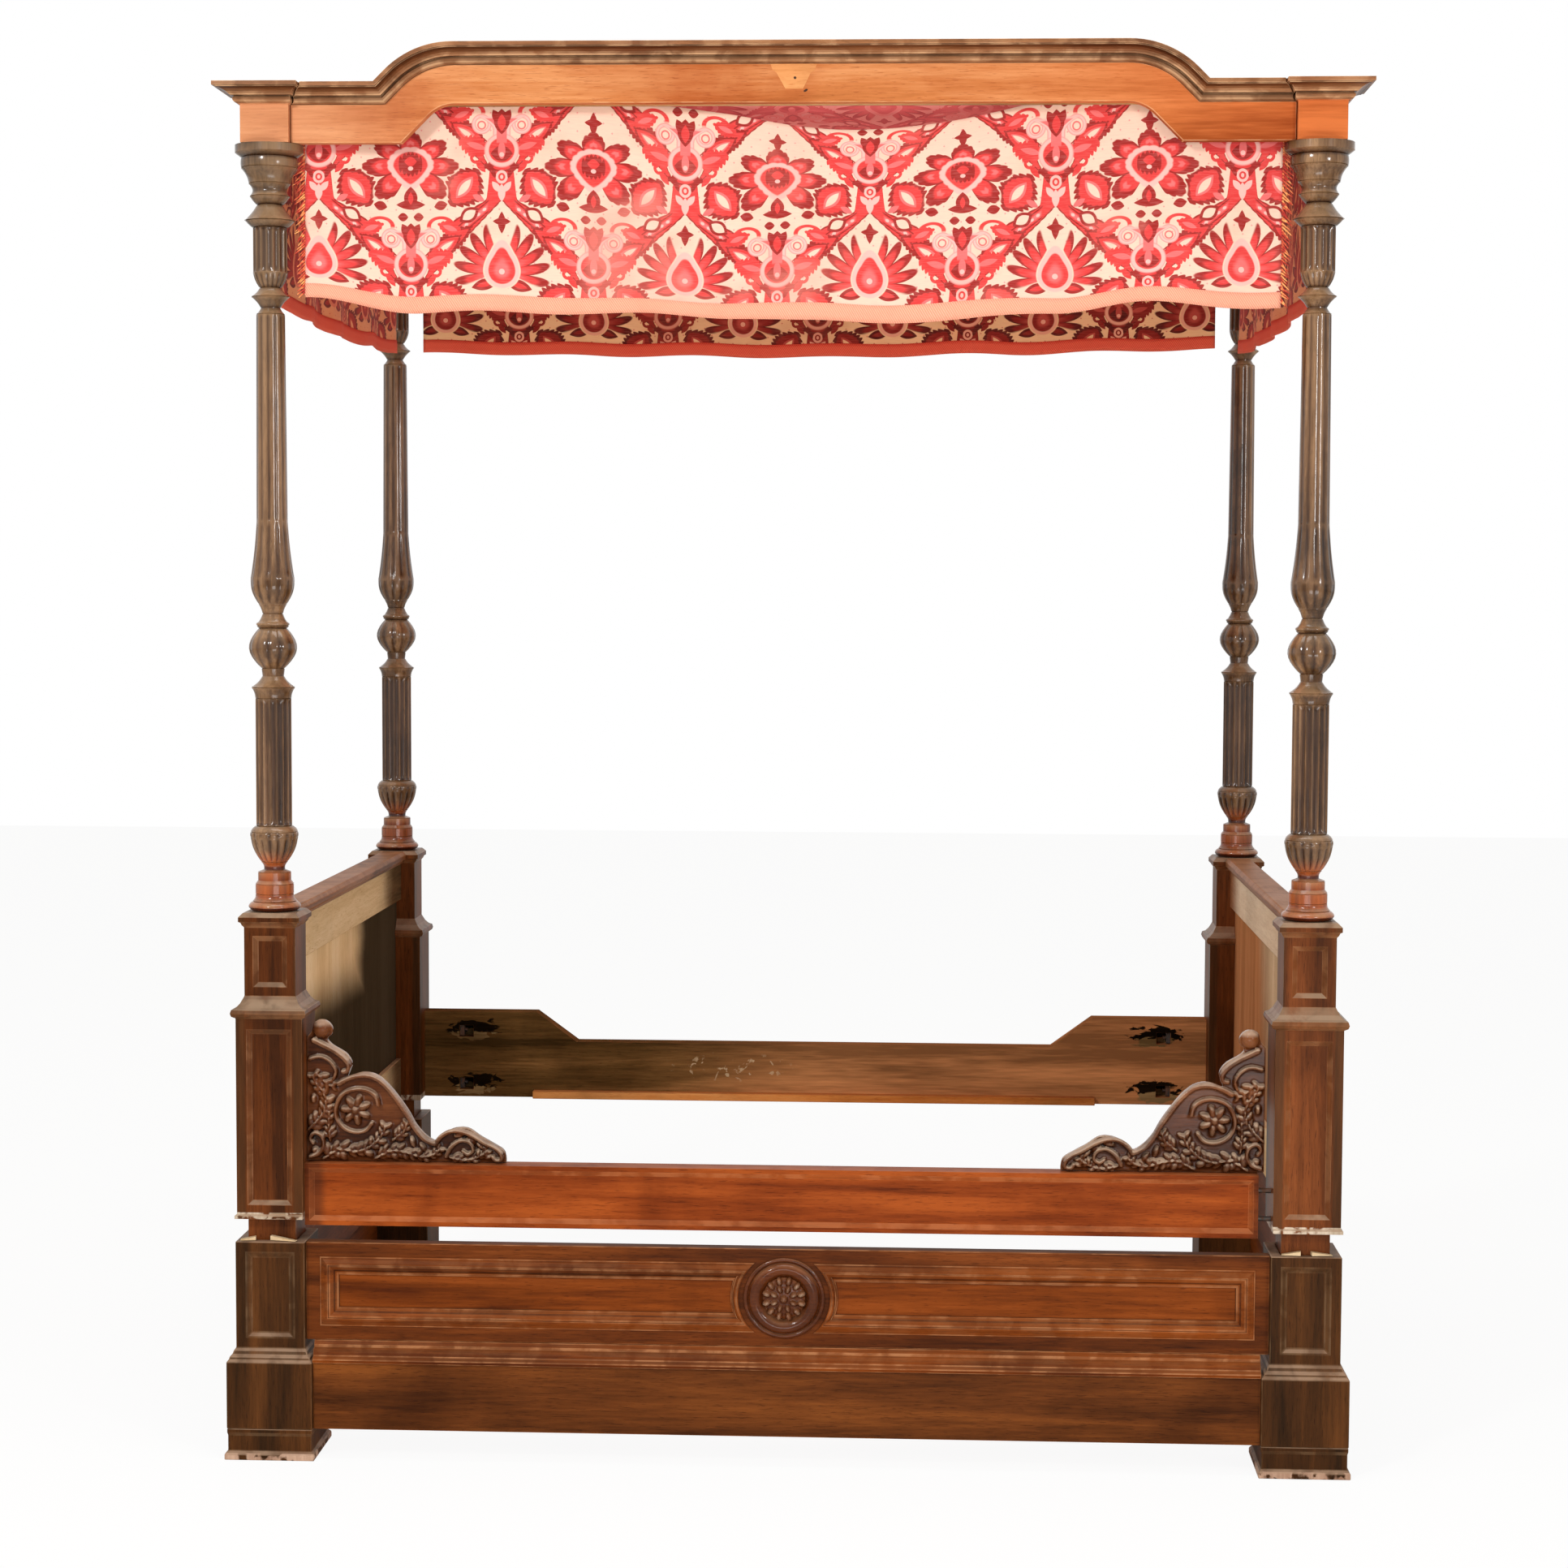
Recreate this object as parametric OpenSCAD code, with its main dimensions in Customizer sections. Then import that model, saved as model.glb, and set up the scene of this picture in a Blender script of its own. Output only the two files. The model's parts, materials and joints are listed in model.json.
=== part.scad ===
// Four-poster bed of red-brown wood: a low plinth section, a carcase with turned posts
// that stands in it on square tenons, and a tester that lifts off iron pins.
// The long side faces -Y. The origin is on the floor, at the middle of the bed.

/* [Overall] */
// Distance between post centres, left to right
post_span = 1980; // [1700:10:2200]
// Distance between post centres, front to back
post_depth = 1340; // [1100:10:1500]

/* [Plinth blocks] */
// Height of the moulded feet
foot_h = 60; // [50:1:80]
// Half width of a foot
foot_half = 81; // [78:1:85]
// Height of the wide lower part of a block
base_h = 130; // [110:1:150]
// Half width of the wide lower part
base_half = 83; // [81:1:90]
// Height of the moulding between the two parts of a block
base_mould_h = 25; // [20:1:40]
// Height of the narrow upper part of a block
stem_h = 207; // [190:1:250]
// Half width of the narrow upper part
stem_half = 67; // [64:1:72]
// Depth of the mortise in the top of a block
mortise_depth = 60; // [40:1:90]

/* [Aprons] */
// Height of the lower edge of the plinth boards above the floor
board_z = 60; // [40:1:65]
// Thickness of the plinth boards
board_t = 36; // [24:1:45]
// Set back of the plinth boards behind the blocks
board_back = 10; // [4:1:20]
// Height of the apron moulding
apron_mould_h = 40; // [30:1:50]
// Thickness of the apron frames
apron_t = 30; // [22:1:36]
// Set back of the apron frames behind the blocks
apron_back = 14; // [6:1:24]
// Width of the frame round the apron panels
apron_border = 50; // [40:1:60]
// Drop of the apron top below the block top
apron_drop = 2; // [1:1:10]
// Radius of the round field behind the rosette
roundel_r = 100; // [96:1:120]
// Outer radius of the rosette ring
rosette_r = 78; // [60:1:88]
// Radius of the rosette boss
boss_r = 45; // [35:1:50]

/* [Post blocks] */
// Gap between the plinth blocks and the post blocks
tenon_show = 44; // [5:1:60]
// Half width of the stub tenons
tenon_half = 46; // [35:1:50]
// Play round a tenon in its mortise
tenon_play = 0.5; // [0.3:0.1:1]
// Height of the main post block
block_h = 388; // [350:1:430]
// Half width of the main post block
block_half = 64; // [60:1:70]
// Height of the moulded waist above the main block
waist_h = 42; // [36:1:50]
// Height of the small upper block
neck_h = 132; // [115:1:150]
// Half width of the small upper block
neck_half = 49.5; // [46:0.5:53]
// Height of the cap moulding
cap_h = 28; // [24:1:34]
// Half width of the cap moulding
cap_half = 59; // [56:1:63]
// Width of the flat border round a sunk panel
sunk_border = 21; // [16:1:26]
// Depth of a sunk panel
sunk_depth = 6; // [3:0.5:8]
// Width of the bevel round a sunk panel
sunk_bevel = 9; // [5:1:12]

/* [Turned posts] */
// Length of the fluted lower drum
drum_len = 245; // [200:1:300]
// Radius of the fluted lower drum
drum_r = 34.5; // [32:0.5:38]
// Bulge of the ball above the lower drum
ball_swell = 21; // [12:1:26]
// Length of the plain tapered shaft
shaft_len = 393; // [300:1:500]
// Radius of the shaft at its lower end
shaft_r = 29.5; // [27:0.5:34]
// Length of the upper drum
upper_drum_len = 85; // [60:1:110]
// Radius of the upper drum
upper_drum_r = 32.5; // [29:0.5:36]
// Radius of the top disc
disc_r = 65; // [58:1:66]
// Number of flutes round a drum
flutes = 16; // [12:1:18]
// Radius of a flute
flute_r = 4.5; // [3:0.5:5]
// Radius of the dowel that joins a turned post to its block
dowel_r = 19; // [15:1:24]
// Length of the dowel
dowel_len = 60; // [40:1:80]

/* [Rails] */
// Height of the front rail
rail_h = 120; // [100:1:150]
// Thickness of the rails
rail_t = 45; // [36:1:50]
// Drop of the front rail below the foot of the post blocks
rail_drop = 14; // [0:1:25]
// Drop of the rear rail below the foot of the post blocks
rear_drop = 0; // [0:1:25]
// Set back of the rails behind the post blocks
rail_back = 18; // [10:1:24]
// Height of the rear rail between its raised ends
rear_rail_h = 134; // [120:1:160]
// Height of the raised ends above the rest of the rear rail
rear_rise = 70; // [50:1:90]
// Length of the flat part of a raised end
rear_flat = 268; // [220:1:340]
// Length of the slope beside a raised end
rear_slope = 96; // [60:1:140]
// Gap that has opened between the front rail and the right post block
open_joint = 26; // [2:1:30]
// Thin lip round the sunk face of the front rail
rail_lip = 9; // [6:1:14]
// Height of a slat bearer
bearer_h = 18; // [14:1:30]
// Depth of a slat bearer
bearer_d = 24; // [16:1:34]
// Length of a slat bearer
bearer_len = 1330; // [1000:10:1400]
// Height of a carved bracket
bracket_h = 274; // [240:2:280]
// Length of a carved bracket
bracket_len = 387; // [320:1:420]
// Thickness of a carved bracket
bracket_t = 34; // [26:1:38]

/* [Bed bolts] */
// Radius of a bolt shank
bolt_r = 5; // [4:0.5:6]
// Radius of a bolt head
bolt_head_r = 13; // [10:0.5:15]
// Distance of a nut pocket from the face of its post block
nut_in = 100; // [70:1:130]
// Width of a nut across its flats
nut_w = 24; // [18:1:28]

/* [Panelled ends] */
// Height of the bottom rail of an end
end_bottom_h = 100; // [80:1:130]
// Height of the top rail of an end
end_top_h = 86; // [70:1:96]
// Thickness of the rails of an end
end_rail_t = 36; // [30:1:44]
// Thickness of the panel
end_panel_t = 12; // [8:0.5:16]
// Depth of the grooves that hold the panel
groove = 12; // [8:1:15]
// Width of the capping
capping_w = 62; // [50:1:76]

/* [Tester] */
// Half width of the corner blocks
corner_half = 46; // [40:1:50]
// Height of the corner blocks and of the frieze
frieze_h = 72; // [55:1:85]
// Thickness of the frieze boards
frieze_t = 24; // [18:1:28]
// Set back of the frieze behind the corner blocks
frieze_back = 14; // [8:1:18]
// Height of the cornice
crown_h = 36; // [30:1:44]
// Overhang of the cornice
crown_out = 44; // [34:1:54]
// Overhang of a corner crown on its inner sides
crown_return = 24; // [14:1:30]
// Rise of the arch in the front
arch_rise = 73; // [55:1:90]
// Half length of the flat top of the arch
arch_half = 630; // [500:5:680]
// Gap between the front cornice and a corner crown
crown_gap = 4; // [3:0.5:6]
// Radius of the bend under the cornice of the arch
arch_r = 145; // [120:1:180]
// Radius of the iron pins
pin_r = 6; // [4:0.5:8]
// Height of the pins above the posts
pin_show = 60; // [40:1:70]

/* [Cloth] */
// Thickness of the cloth
cloth_t = 2; // [1.5:0.5:3]
// Drop of the valances below the corner blocks
valance_drop = 312; // [200:2:360]
// Depth of the folds in the valances
fold_depth = 7; // [3:0.5:10]
// Length of one fold
fold_pitch = 330; // [200:10:450]
// Sag of the ceiling cloth
ceiling_sag = 60; // [20:5:90]
// Droop of the top edge of the front valance where its tacks are lost
valance_droop = 72; // [0:2:80]
// Height of the laths that carry the cloth
lath_h = 20; // [14:1:26]
// Thickness of the laths
lath_t = 14; // [10:1:18]

/* [Hidden] */
$fn = 48;
// Clearance between pieces of different sections
play = 0.3;
// Small overshoot of a cut past the face that it opens
cut = 1;
big = 4000;
half_x = post_span / 2;
half_y = post_depth / 2;

// Heights, from the floor up
base_top = foot_h + base_h;
stem_z = base_top + base_mould_h;
plinth_top = stem_z + stem_h;
block_z = plinth_top + tenon_show;
block_top = block_z + block_h;
neck_z = block_top + waist_h;
cap_z = neck_z + neck_h;
cap_top = cap_z + cap_h;

// Places of the aprons
apron_top = plinth_top - apron_drop;
apron_mould_top = base_top + apron_mould_h;
board_face = half_y + base_half - board_back;
apron_face = half_y + stem_half - apron_back;
end_board_face = half_x + base_half - board_back;
end_apron_face = half_x + stem_half - apron_back;
rosette_z = (apron_mould_top + apron_top) / 2;
mould_lip = board_face - apron_face - 2;

// Places of the rails
rail_z = block_z - rail_drop;
rail_top = rail_z + rail_h;
rail_face = half_y + block_half - rail_back;
rail_mid = rail_face - rail_t / 2;
rear_z = block_z - rear_drop;
rear_mid_top = rear_z + rear_rail_h;
rear_top = rear_mid_top + rear_rise;
rail_end = half_x - block_half;
open_end = rail_end - open_joint;
nut_x = rail_end - nut_in;
front_low_bolt = rail_z + 34;
front_high_bolt = rail_top - 32;
rear_low_bolt = rear_z + 31;
rear_high_bolt = rear_top - 47;
bolt_bore_r = bolt_r + 0.5;
head_h = 7;
head_sink = 10;
nut_t = 10;
pocket_w = 34;
// A nut bears on the wall of its pocket that is nearer the post
nut_seat = nut_x + pocket_w / 2 - nut_t / 2 - play;
pocket_depth = rail_t / 2 + nut_w / 2 + 2;

// Places of the ends
end_bottom_z = block_z;
end_bottom_top = end_bottom_z + end_bottom_h;
end_top_z = cap_z - end_top_h;
end_rail_len = 2 * (half_y - block_half);
end_top_len = 2 * (half_y - neck_half);
end_cap_len = 2 * (half_y - cap_half);
panel_half = half_y - neck_half + 3.5;
groove_play = 0.3;

// The turning, from the cap up: each row is a length, the radii at its two ends and a bulge
turning = [
    [19, 42, 42, 8], [14, 42, 36.5, -2], [19, 36.5, 36.5, 0], [8, 36.5, 31.5, 0],
    [15, 31.5, 31.5, 0], [6, 31.5, 20, 0], [14, 20, 25.5, -2], [47, 25.5, 45, 4],
    [11, 45, 45, 1], [12, 45, drum_r, 2], [drum_len, drum_r, drum_r, 0],
    [21, drum_r, 41.5, -2], [22, 41.5, 20.5, -3], [14, 20.5, 22, 0],
    [77, 22, 27.5, ball_swell], [5, 27.5, 30.5, 0], [6, 30.5, 30.5, 1], [17, 28, 19.5, -1],
    [18, 19.5, 26.5, -1], [49, 26.5, 41.5, 5], [109, 41.5, shaft_r, -1.5],
    [shaft_len, shaft_r, 27, 0], [12, 27, 18.5, -1], [21, 18.5, 36, -2],
    [17, 36, 20.5, -2], [28, 20.5, upper_drum_r, 2], [upper_drum_len, upper_drum_r, upper_drum_r, 0],
    [13, upper_drum_r, 46, 1], [30, 48, 24.5, -2], [16, 24.5, 37.5, 1], [24, 37.5, 39.5, -6],
    [29, 39.5, 53.5, -3], [19, 53.5, 53.5, 1], [10, 53.5, disc_r, 0], [14, disc_r, disc_r, 0]
];
drum_row = 10;
upper_drum_row = 26;
function rise(rows, n) = n == 0 ? 0 : rows[n - 1][0] + rise(rows, n - 1);
function row_points(row, z) =
    row[3] == 0
    ? [[row[1], z], [row[2], z + row[0]]]
    : [for (k = [0:6]) [row[1] + (row[2] - row[1]) * k / 6 + row[3] * sin(30 * k), z + row[0] * k / 6]];
drum_z = cap_top + rise(turning, drum_row);
upper_drum_z = cap_top + rise(turning, upper_drum_row);
post_top = cap_top + rise(turning, len(turning));

// Places of the tester
corner_z = post_top + play;
frieze_top = corner_z + frieze_h;
crown_top = frieze_top + crown_h;
frieze_face = half_y + corner_half - frieze_back;
side_frieze_face = half_x + corner_half - frieze_back;
frieze_end = half_x - corner_half;
side_frieze_end = half_y - corner_half;
lath_z = frieze_top;
lath_end = frieze_end - crown_return - 2;
side_lath_end = side_frieze_end - crown_return - 2;
arch_straight = arch_rise - arch_r * (1 - cos(45));
arch_start = arch_half + arch_r * sin(45) + arch_straight;

// Places of the cloth
cloth_line = frieze_face - frieze_t - lath_t - 1 - cloth_t / 2;
side_cloth_line = side_frieze_face - frieze_t - lath_t - 1 - cloth_t / 2;
valance_top = lath_z + lath_h - 4;
valance_end = half_x - disc_r - 2;
side_valance_end = half_y - disc_r - 2;
valance_bottom = corner_z - valance_drop;

// Colours, as the wood shows them
dark_wood = [0.28, 0.13, 0.07];
red_wood = [0.45, 0.19, 0.09];
warm_wood = [0.58, 0.25, 0.10];
pale_wood = [0.72, 0.42, 0.24];
cloth_red = [0.80, 0.28, 0.26];
iron = [0.25, 0.23, 0.22];

// Moves its children to the corner of the bed given by two signs
module corner(sx, sy) {
    translate([sx * half_x, sy * half_y, 0]) children();
}

// A square shaft whose outline follows a list of [half width, height] points, mitred at the corners
module mitred(outline) {
    side = [for (p = outline) [p[0], p[1]]];
    back = [for (i = [len(outline) - 1:-1:0]) [-outline[i][0], outline[i][1]]];
    intersection() {
        rotate([90, 0, 0]) linear_extrude(height = big, center = true) polygon(concat(side, back));
        rotate([90, 0, 90]) linear_extrude(height = big, center = true) polygon(concat(side, back));
    }
}

// The pocket of a sunk panel: its mouth is w by h on the plane y = 0 and it sinks towards +Y
module sunk_panel(w, h) {
    intersection() {
        linear_extrude(height = h + big, center = true)
            polygon([[-w / 2, -cut], [w / 2, -cut], [w / 2, 0], [w / 2 - sunk_bevel, sunk_depth],
                     [sunk_bevel - w / 2, sunk_depth], [-w / 2, 0]]);
        rotate([0, 90, 0]) linear_extrude(height = w + big, center = true)
            polygon([[-h / 2, -cut], [h / 2, -cut], [h / 2, 0], [h / 2 - sunk_bevel, sunk_depth],
                     [sunk_bevel - h / 2, sunk_depth], [-h / 2, 0]]);
    }
}

// Sunk panels on the two outer faces of a square block of half width a, from z0 to z1
module outer_panels(sx, sy, a, z0, z1, border) {
    w = 2 * (a - border);
    h = z1 - z0 - 2 * border;
    translate([0, sy * a, (z0 + z1) / 2]) rotate([0, 0, sy < 0 ? 0 : 180]) sunk_panel(w, h);
    translate([sx * a, 0, (z0 + z1) / 2]) rotate([0, 0, sx < 0 ? -90 : 90]) sunk_panel(w, h);
}

// Plinth section

module foot(sx, sy) {
    color(dark_wood) corner(sx, sy)
        mitred([[foot_half + 6, 0], [foot_half + 6, 11], [foot_half, 17], [foot_half, foot_h - 12],
                [base_half - 0.5, foot_h - 9], [base_half - 0.5, foot_h]]);
}

module plinth_block(sx, sy) {
    step = base_half - stem_half;
    color(dark_wood) corner(sx, sy) difference() {
        mitred([[base_half, foot_h], [base_half, base_top], [base_half - 0.25 * step, base_top + 4],
                [base_half - 0.35 * step, base_top + 0.4 * base_mould_h],
                [base_half - 0.6 * step, base_top + 0.5 * base_mould_h],
                [base_half - 0.75 * step, stem_z - 5], [stem_half, stem_z], [stem_half, plinth_top]]);
        outer_panels(sx, sy, stem_half, stem_z, plinth_top, sunk_border);
        mortise = tenon_half + tenon_play;
        translate([-mortise, -mortise, plinth_top - mortise_depth])
            cube([2 * mortise, 2 * mortise, mortise_depth + cut]);
    }
}

module front_plinth_board() {
    length = 2 * (half_x - base_half);
    color(red_wood) translate([-length / 2, -board_face, board_z])
        cube([length, board_t, base_top - board_z]);
}

// Outline of the apron moulding: x is the depth behind the face of the board
function apron_mould(depth) = [
    [-6, 0], [-6, 7], [-2, 10], [2, 13], [4, 19], [9, 25], [mould_lip - 4, 28], [mould_lip - 4, 31],
    [mould_lip, apron_mould_h], [depth, apron_mould_h], [depth, 0]
];

module front_apron_moulding() {
    length = 2 * (half_x - base_half);
    color(warm_wood) translate([-length / 2, -board_face, base_top]) rotate([90, 0, 90])
        linear_extrude(height = length) polygon(apron_mould(board_t));
}

module front_apron_frame() {
    length = 2 * (half_x - stem_half);
    tall = apron_top - apron_mould_top;
    hole_x = length / 2 - apron_border;
    hole_z = tall / 2 - apron_border;
    color(red_wood) difference() {
        translate([-length / 2, -apron_face, apron_mould_top]) cube([length, apron_t, tall]);
        difference() {
            translate([-hole_x, -apron_face - cut, rosette_z - hole_z])
                cube([2 * hole_x, apron_t + 2 * cut, 2 * hole_z]);
            translate([0, -apron_face - 2 * cut, rosette_z]) rotate([-90, 0, 0])
                cylinder(r = roundel_r, h = apron_t + 4 * cut);
        }
    }
}

module front_apron_panels() {
    hole_x = half_x - stem_half - apron_border - play;
    hole_z = (apron_top - apron_mould_top) / 2 - apron_border - play;
    color(warm_wood) difference() {
        translate([-hole_x, -apron_face + 4, rosette_z - hole_z])
            cube([2 * hole_x, apron_t - 10, 2 * hole_z]);
        translate([0, -apron_face - cut, rosette_z]) rotate([-90, 0, 0])
            cylinder(r = roundel_r + play, h = apron_t + 2 * cut);
    }
}

module rosette_ring() {
    color(dark_wood) translate([0, -apron_face, rosette_z]) rotate([90, 0, 0]) rotate_extrude()
        polygon([[boss_r + play, 0], [rosette_r, 0], [rosette_r, 7], [rosette_r - 4, 12],
                 [rosette_r - 10, 14], [rosette_r - 15, 10], [boss_r + play, 5]]);
}

module rosette_boss() {
    color(dark_wood) translate([0, -apron_face, rosette_z]) rotate([90, 0, 0]) rotate_extrude()
        polygon(concat([[0, 0], [boss_r, 0]], [for (k = [0:6]) [boss_r * cos(15 * k), 5 + 20 * sin(15 * k)]]));
}

module end_apron(sx) {
    low = half_y - base_half;
    high = half_y - stem_half;
    color(red_wood) scale([sx, 1, 1]) union() {
        translate([end_board_face - board_t, -low, board_z]) cube([board_t, 2 * low, base_top - board_z]);
        translate([end_board_face - board_t, -low, base_top])
            cube([end_apron_face - end_board_face + board_t - 3, 2 * low, apron_mould_h]);
        translate([end_apron_face - apron_t, -high, apron_mould_top])
            cube([apron_t, 2 * high, apron_top - apron_mould_top]);
    }
}

module end_apron_mouldings() {
    low = half_y - base_half;
    depth = end_board_face - end_apron_face + 3;
    color(warm_wood) for (sx = [-1, 1])
        scale([sx, 1, 1]) translate([end_board_face, -low, base_top]) rotate([90, 0, 180])
            linear_extrude(height = 2 * low) polygon(apron_mould(depth));
}

// Carcase

module post_block(sx, sy) {
    step = block_half - neck_half;
    color(dark_wood) corner(sx, sy) difference() {
        union() {
            mitred([[block_half + 4, block_z], [block_half + 4, block_z + 6], [block_half, block_z + 9],
                    [block_half, block_top], [block_half + 7, block_top + 4],
                    [block_half + 9, block_top + 10], [block_half + 7, block_top + 17],
                    [block_half, block_top + 20], [block_half - 0.5 * step, block_top + 28],
                    [neck_half + 3, neck_z - 6], [neck_half, neck_z], [neck_half, cap_z],
                    [cap_half - 6, cap_z + 4], [cap_half - 4, cap_z + 9], [cap_half, cap_z + 11],
                    [cap_half, cap_z + 20], [cap_half - 8, cap_top]]);
            translate([-tenon_half, -tenon_half, plinth_top - mortise_depth + play])
                cube([2 * tenon_half, 2 * tenon_half, block_z - plinth_top + mortise_depth - play]);
        }
        outer_panels(sx, sy, block_half, block_z + 6, block_top, sunk_border);
        outer_panels(sx, sy, neck_half, neck_z, cap_z, sunk_border - 4);
        translate([0, 0, cap_top - dowel_len - 3]) cylinder(r = dowel_r + play, h = dowel_len + 3 + cut);
        end_groove(sy);
        bolt_bores(sx, sy);
        plain_inner_foot(sx, sy);
    }
}

// The two faces that take the rails have no lip at their foot
module plain_inner_foot(sx, sy) {
    wide = 4 * block_half;
    scale([-sx, -sy, 1]) {
        translate([block_half, -wide / 2, block_z - cut]) cube([wide, wide, 20]);
        translate([-wide / 2, block_half, block_z - cut]) cube([wide, wide, 20]);
    }
}

// The groove for the end panel, on the face towards the other post of the same end
module end_groove(sy) {
    half = end_panel_t / 2 + groove_play;
    depth = half_y - panel_half - groove_play;
    translate([-half, sy < 0 ? depth : -depth - block_half, end_bottom_top - groove - groove_play])
        cube([2 * half, block_half, end_top_z + groove + 2 * groove_play - end_bottom_top + groove]);
}

function bolt_heights(sy) = sy < 0 ? [front_low_bolt, front_high_bolt] : [rear_low_bolt, rear_high_bolt];

module bolt_bores(sx, sy) {
    for (z = bolt_heights(sy)) translate([0, sy * (rail_mid - half_y), z]) rotate([0, 90 * sx, 0]) {
        cylinder(r = bolt_bore_r, h = 3 * block_half, center = true);
        translate([0, 0, block_half - head_sink]) cylinder(r = bolt_head_r + 2, h = head_sink + cut);
    }
}

module turned_post(sx, sy) {
    points = [for (i = [0:len(turning) - 1]) each row_points(turning[i], cap_top + rise(turning, i))];
    color(dark_wood) corner(sx, sy) difference() {
        union() {
            rotate_extrude() polygon(concat([[0, cap_top]], points, [[0, post_top]]));
            translate([0, 0, cap_top - dowel_len]) cylinder(r = dowel_r, h = dowel_len + cut);
        }
        flute_cuts(drum_r, drum_z, drum_len);
        flute_cuts(upper_drum_r, upper_drum_z, upper_drum_len);
        translate([0, 0, post_top - pin_show]) cylinder(r = pin_r, h = pin_show + cut);
    }
}

module flute_cuts(r, z, length) {
    for (i = [0:flutes - 1]) rotate([0, 0, i * 360 / flutes]) translate([r + 0.45 * flute_r, 0, z + 6])
        cylinder(r = flute_r, h = length - 12, $fn = 16);
}

// The rail-end pockets, bores and nuts lie on the bolts of one rail
module nut_pockets(sy, half_len) {
    for (sx = [-1, 1]) for (z = bolt_heights(sy)) {
        translate([sx * nut_x - pocket_w / 2, sy < 0 ? -rail_face + rail_t - pocket_depth : rail_face - rail_t - cut,
                   z - nut_w / 2 - 2])
            cube([pocket_w, pocket_depth + cut, nut_w + 4]);
        translate([sx * nut_x, sy * rail_mid, z]) rotate([0, 90 * sx, 0])
            cylinder(r = bolt_bore_r, h = half_len);
        translate([sx * nut_x, sy * rail_mid, z]) rotate([0, -90 * sx, 0])
            cylinder(r = bolt_bore_r, h = 30);
    }
}

module front_rail() {
    length = rail_end + open_end;
    color(warm_wood) difference() {
        translate([-rail_end, -rail_face, rail_z]) cube([length, rail_t, rail_h]);
        translate([(open_end - rail_end) / 2, -rail_face, rail_z + rail_h / 2])
            sunk_panel(length - 2 * rail_lip, rail_h - 2 * rail_lip);
        nut_pockets(-1, half_x);
    }
}

module rear_rail() {
    flat = rail_end - rear_flat;
    slope = flat - rear_slope;
    color(red_wood) difference() {
        translate([0, rail_face, 0]) rotate([90, 0, 0]) linear_extrude(height = rail_t)
            polygon([[-rail_end, rear_z], [rail_end, rear_z], [rail_end, rear_top], [flat, rear_top],
                     [slope, rear_mid_top], [-slope, rear_mid_top], [-flat, rear_top],
                     [-rail_end, rear_top]]);
        nut_pockets(1, half_x);
    }
}

module slat_bearers() {
    color(pale_wood) for (sy = [-1, 1])
        translate([-bearer_len / 2, sy < 0 ? -rail_face + rail_t : rail_face - rail_t - bearer_d,
                   sy < 0 ? rail_z : rear_z])
            cube([bearer_len, bearer_d, bearer_h]);
}

// Outline of a bracket as shares of its length and height, from the post outwards:
// a knob, a shoulder, a notch, a long lobe, a small bump and the end scroll
function bracket_outline() = concat(
    [[0, 0], [0, 0.88]],
    [for (a = [180:-30:-60]) [0.078 + 0.051 * cos(a), 0.926 + 0.074 * sin(a)]],
    [[0.126, 0.83], [0.194, 0.77], [0.226, 0.70], [0.211, 0.64], [0.206, 0.595], [0.251, 0.615]],
    [[0.297, 0.626], [0.354, 0.607], [0.411, 0.541], [0.469, 0.443], [0.514, 0.352], [0.549, 0.262]],
    [[0.606, 0.18], [0.657, 0.148], [0.703, 0.213], [0.754, 0.249], [0.811, 0.246], [0.869, 0.192]],
    [[0.937, 0.139], [0.989, 0.09], [1, 0.025], [1, 0]]
);

module bracket(sx) {
    start = sx < 0 ? rail_end : rail_end - open_joint / 2;
    size = [for (p = bracket_outline()) [sx * (start - p[0] * bracket_len), p[1] * bracket_h]];
    color(dark_wood) translate([0, -rail_mid + bracket_t / 2, rail_top]) rotate([90, 0, 0])
        linear_extrude(height = bracket_t) polygon(size);
}

module end_bottom_rail(sx) {
    color(red_wood) difference() {
        translate([sx * half_x - end_rail_t / 2, -end_rail_len / 2, end_bottom_z])
            cube([end_rail_t, end_rail_len, end_bottom_h]);
        translate([sx * half_x - end_panel_t / 2 - groove_play, -half_y, end_bottom_top - groove - groove_play])
            cube([end_panel_t + 2 * groove_play, 2 * half_y, groove + 2 * cut]);
    }
}

module end_panel(sx) {
    color(pale_wood) translate([sx * half_x - end_panel_t / 2, -panel_half, end_bottom_top - groove])
        cube([end_panel_t, 2 * panel_half, end_top_z - end_bottom_top + 2 * groove]);
}

module end_top_rail(sx) {
    color(red_wood) difference() {
        translate([sx * half_x - end_rail_t / 2, -end_top_len / 2, end_top_z])
            cube([end_rail_t, end_top_len, end_top_h]);
        translate([sx * half_x - end_panel_t / 2 - groove_play, -half_y, end_top_z - cut])
            cube([end_panel_t + 2 * groove_play, 2 * half_y, groove + groove_play + cut]);
    }
}

module capping(sx) {
    w = capping_w / 2;
    color(dark_wood) translate([sx * half_x, -end_cap_len / 2, cap_z]) rotate([90, 0, 180])
        linear_extrude(height = end_cap_len)
            polygon([[-w + 8, 0], [w - 8, 0], [w - 6, 7], [w, 10], [w, 20], [w - 6, cap_h],
                     [6 - w, cap_h], [-w, 20], [-w, 10], [6 - w, 7]]);
}

module bed_bolts() {
    color(iron) for (sx = [-1, 1]) for (sy = [-1, 1]) for (z = bolt_heights(sy))
        translate([sx * nut_x, sy * rail_mid, z]) rotate([0, 90 * sx, 0]) {
            cylinder(r = bolt_r, h = half_x + block_half - head_sink - nut_x + cut);
            translate([0, 0, half_x + block_half - head_sink - nut_x]) cylinder(r = bolt_head_r, h = head_h);
        }
}

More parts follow.
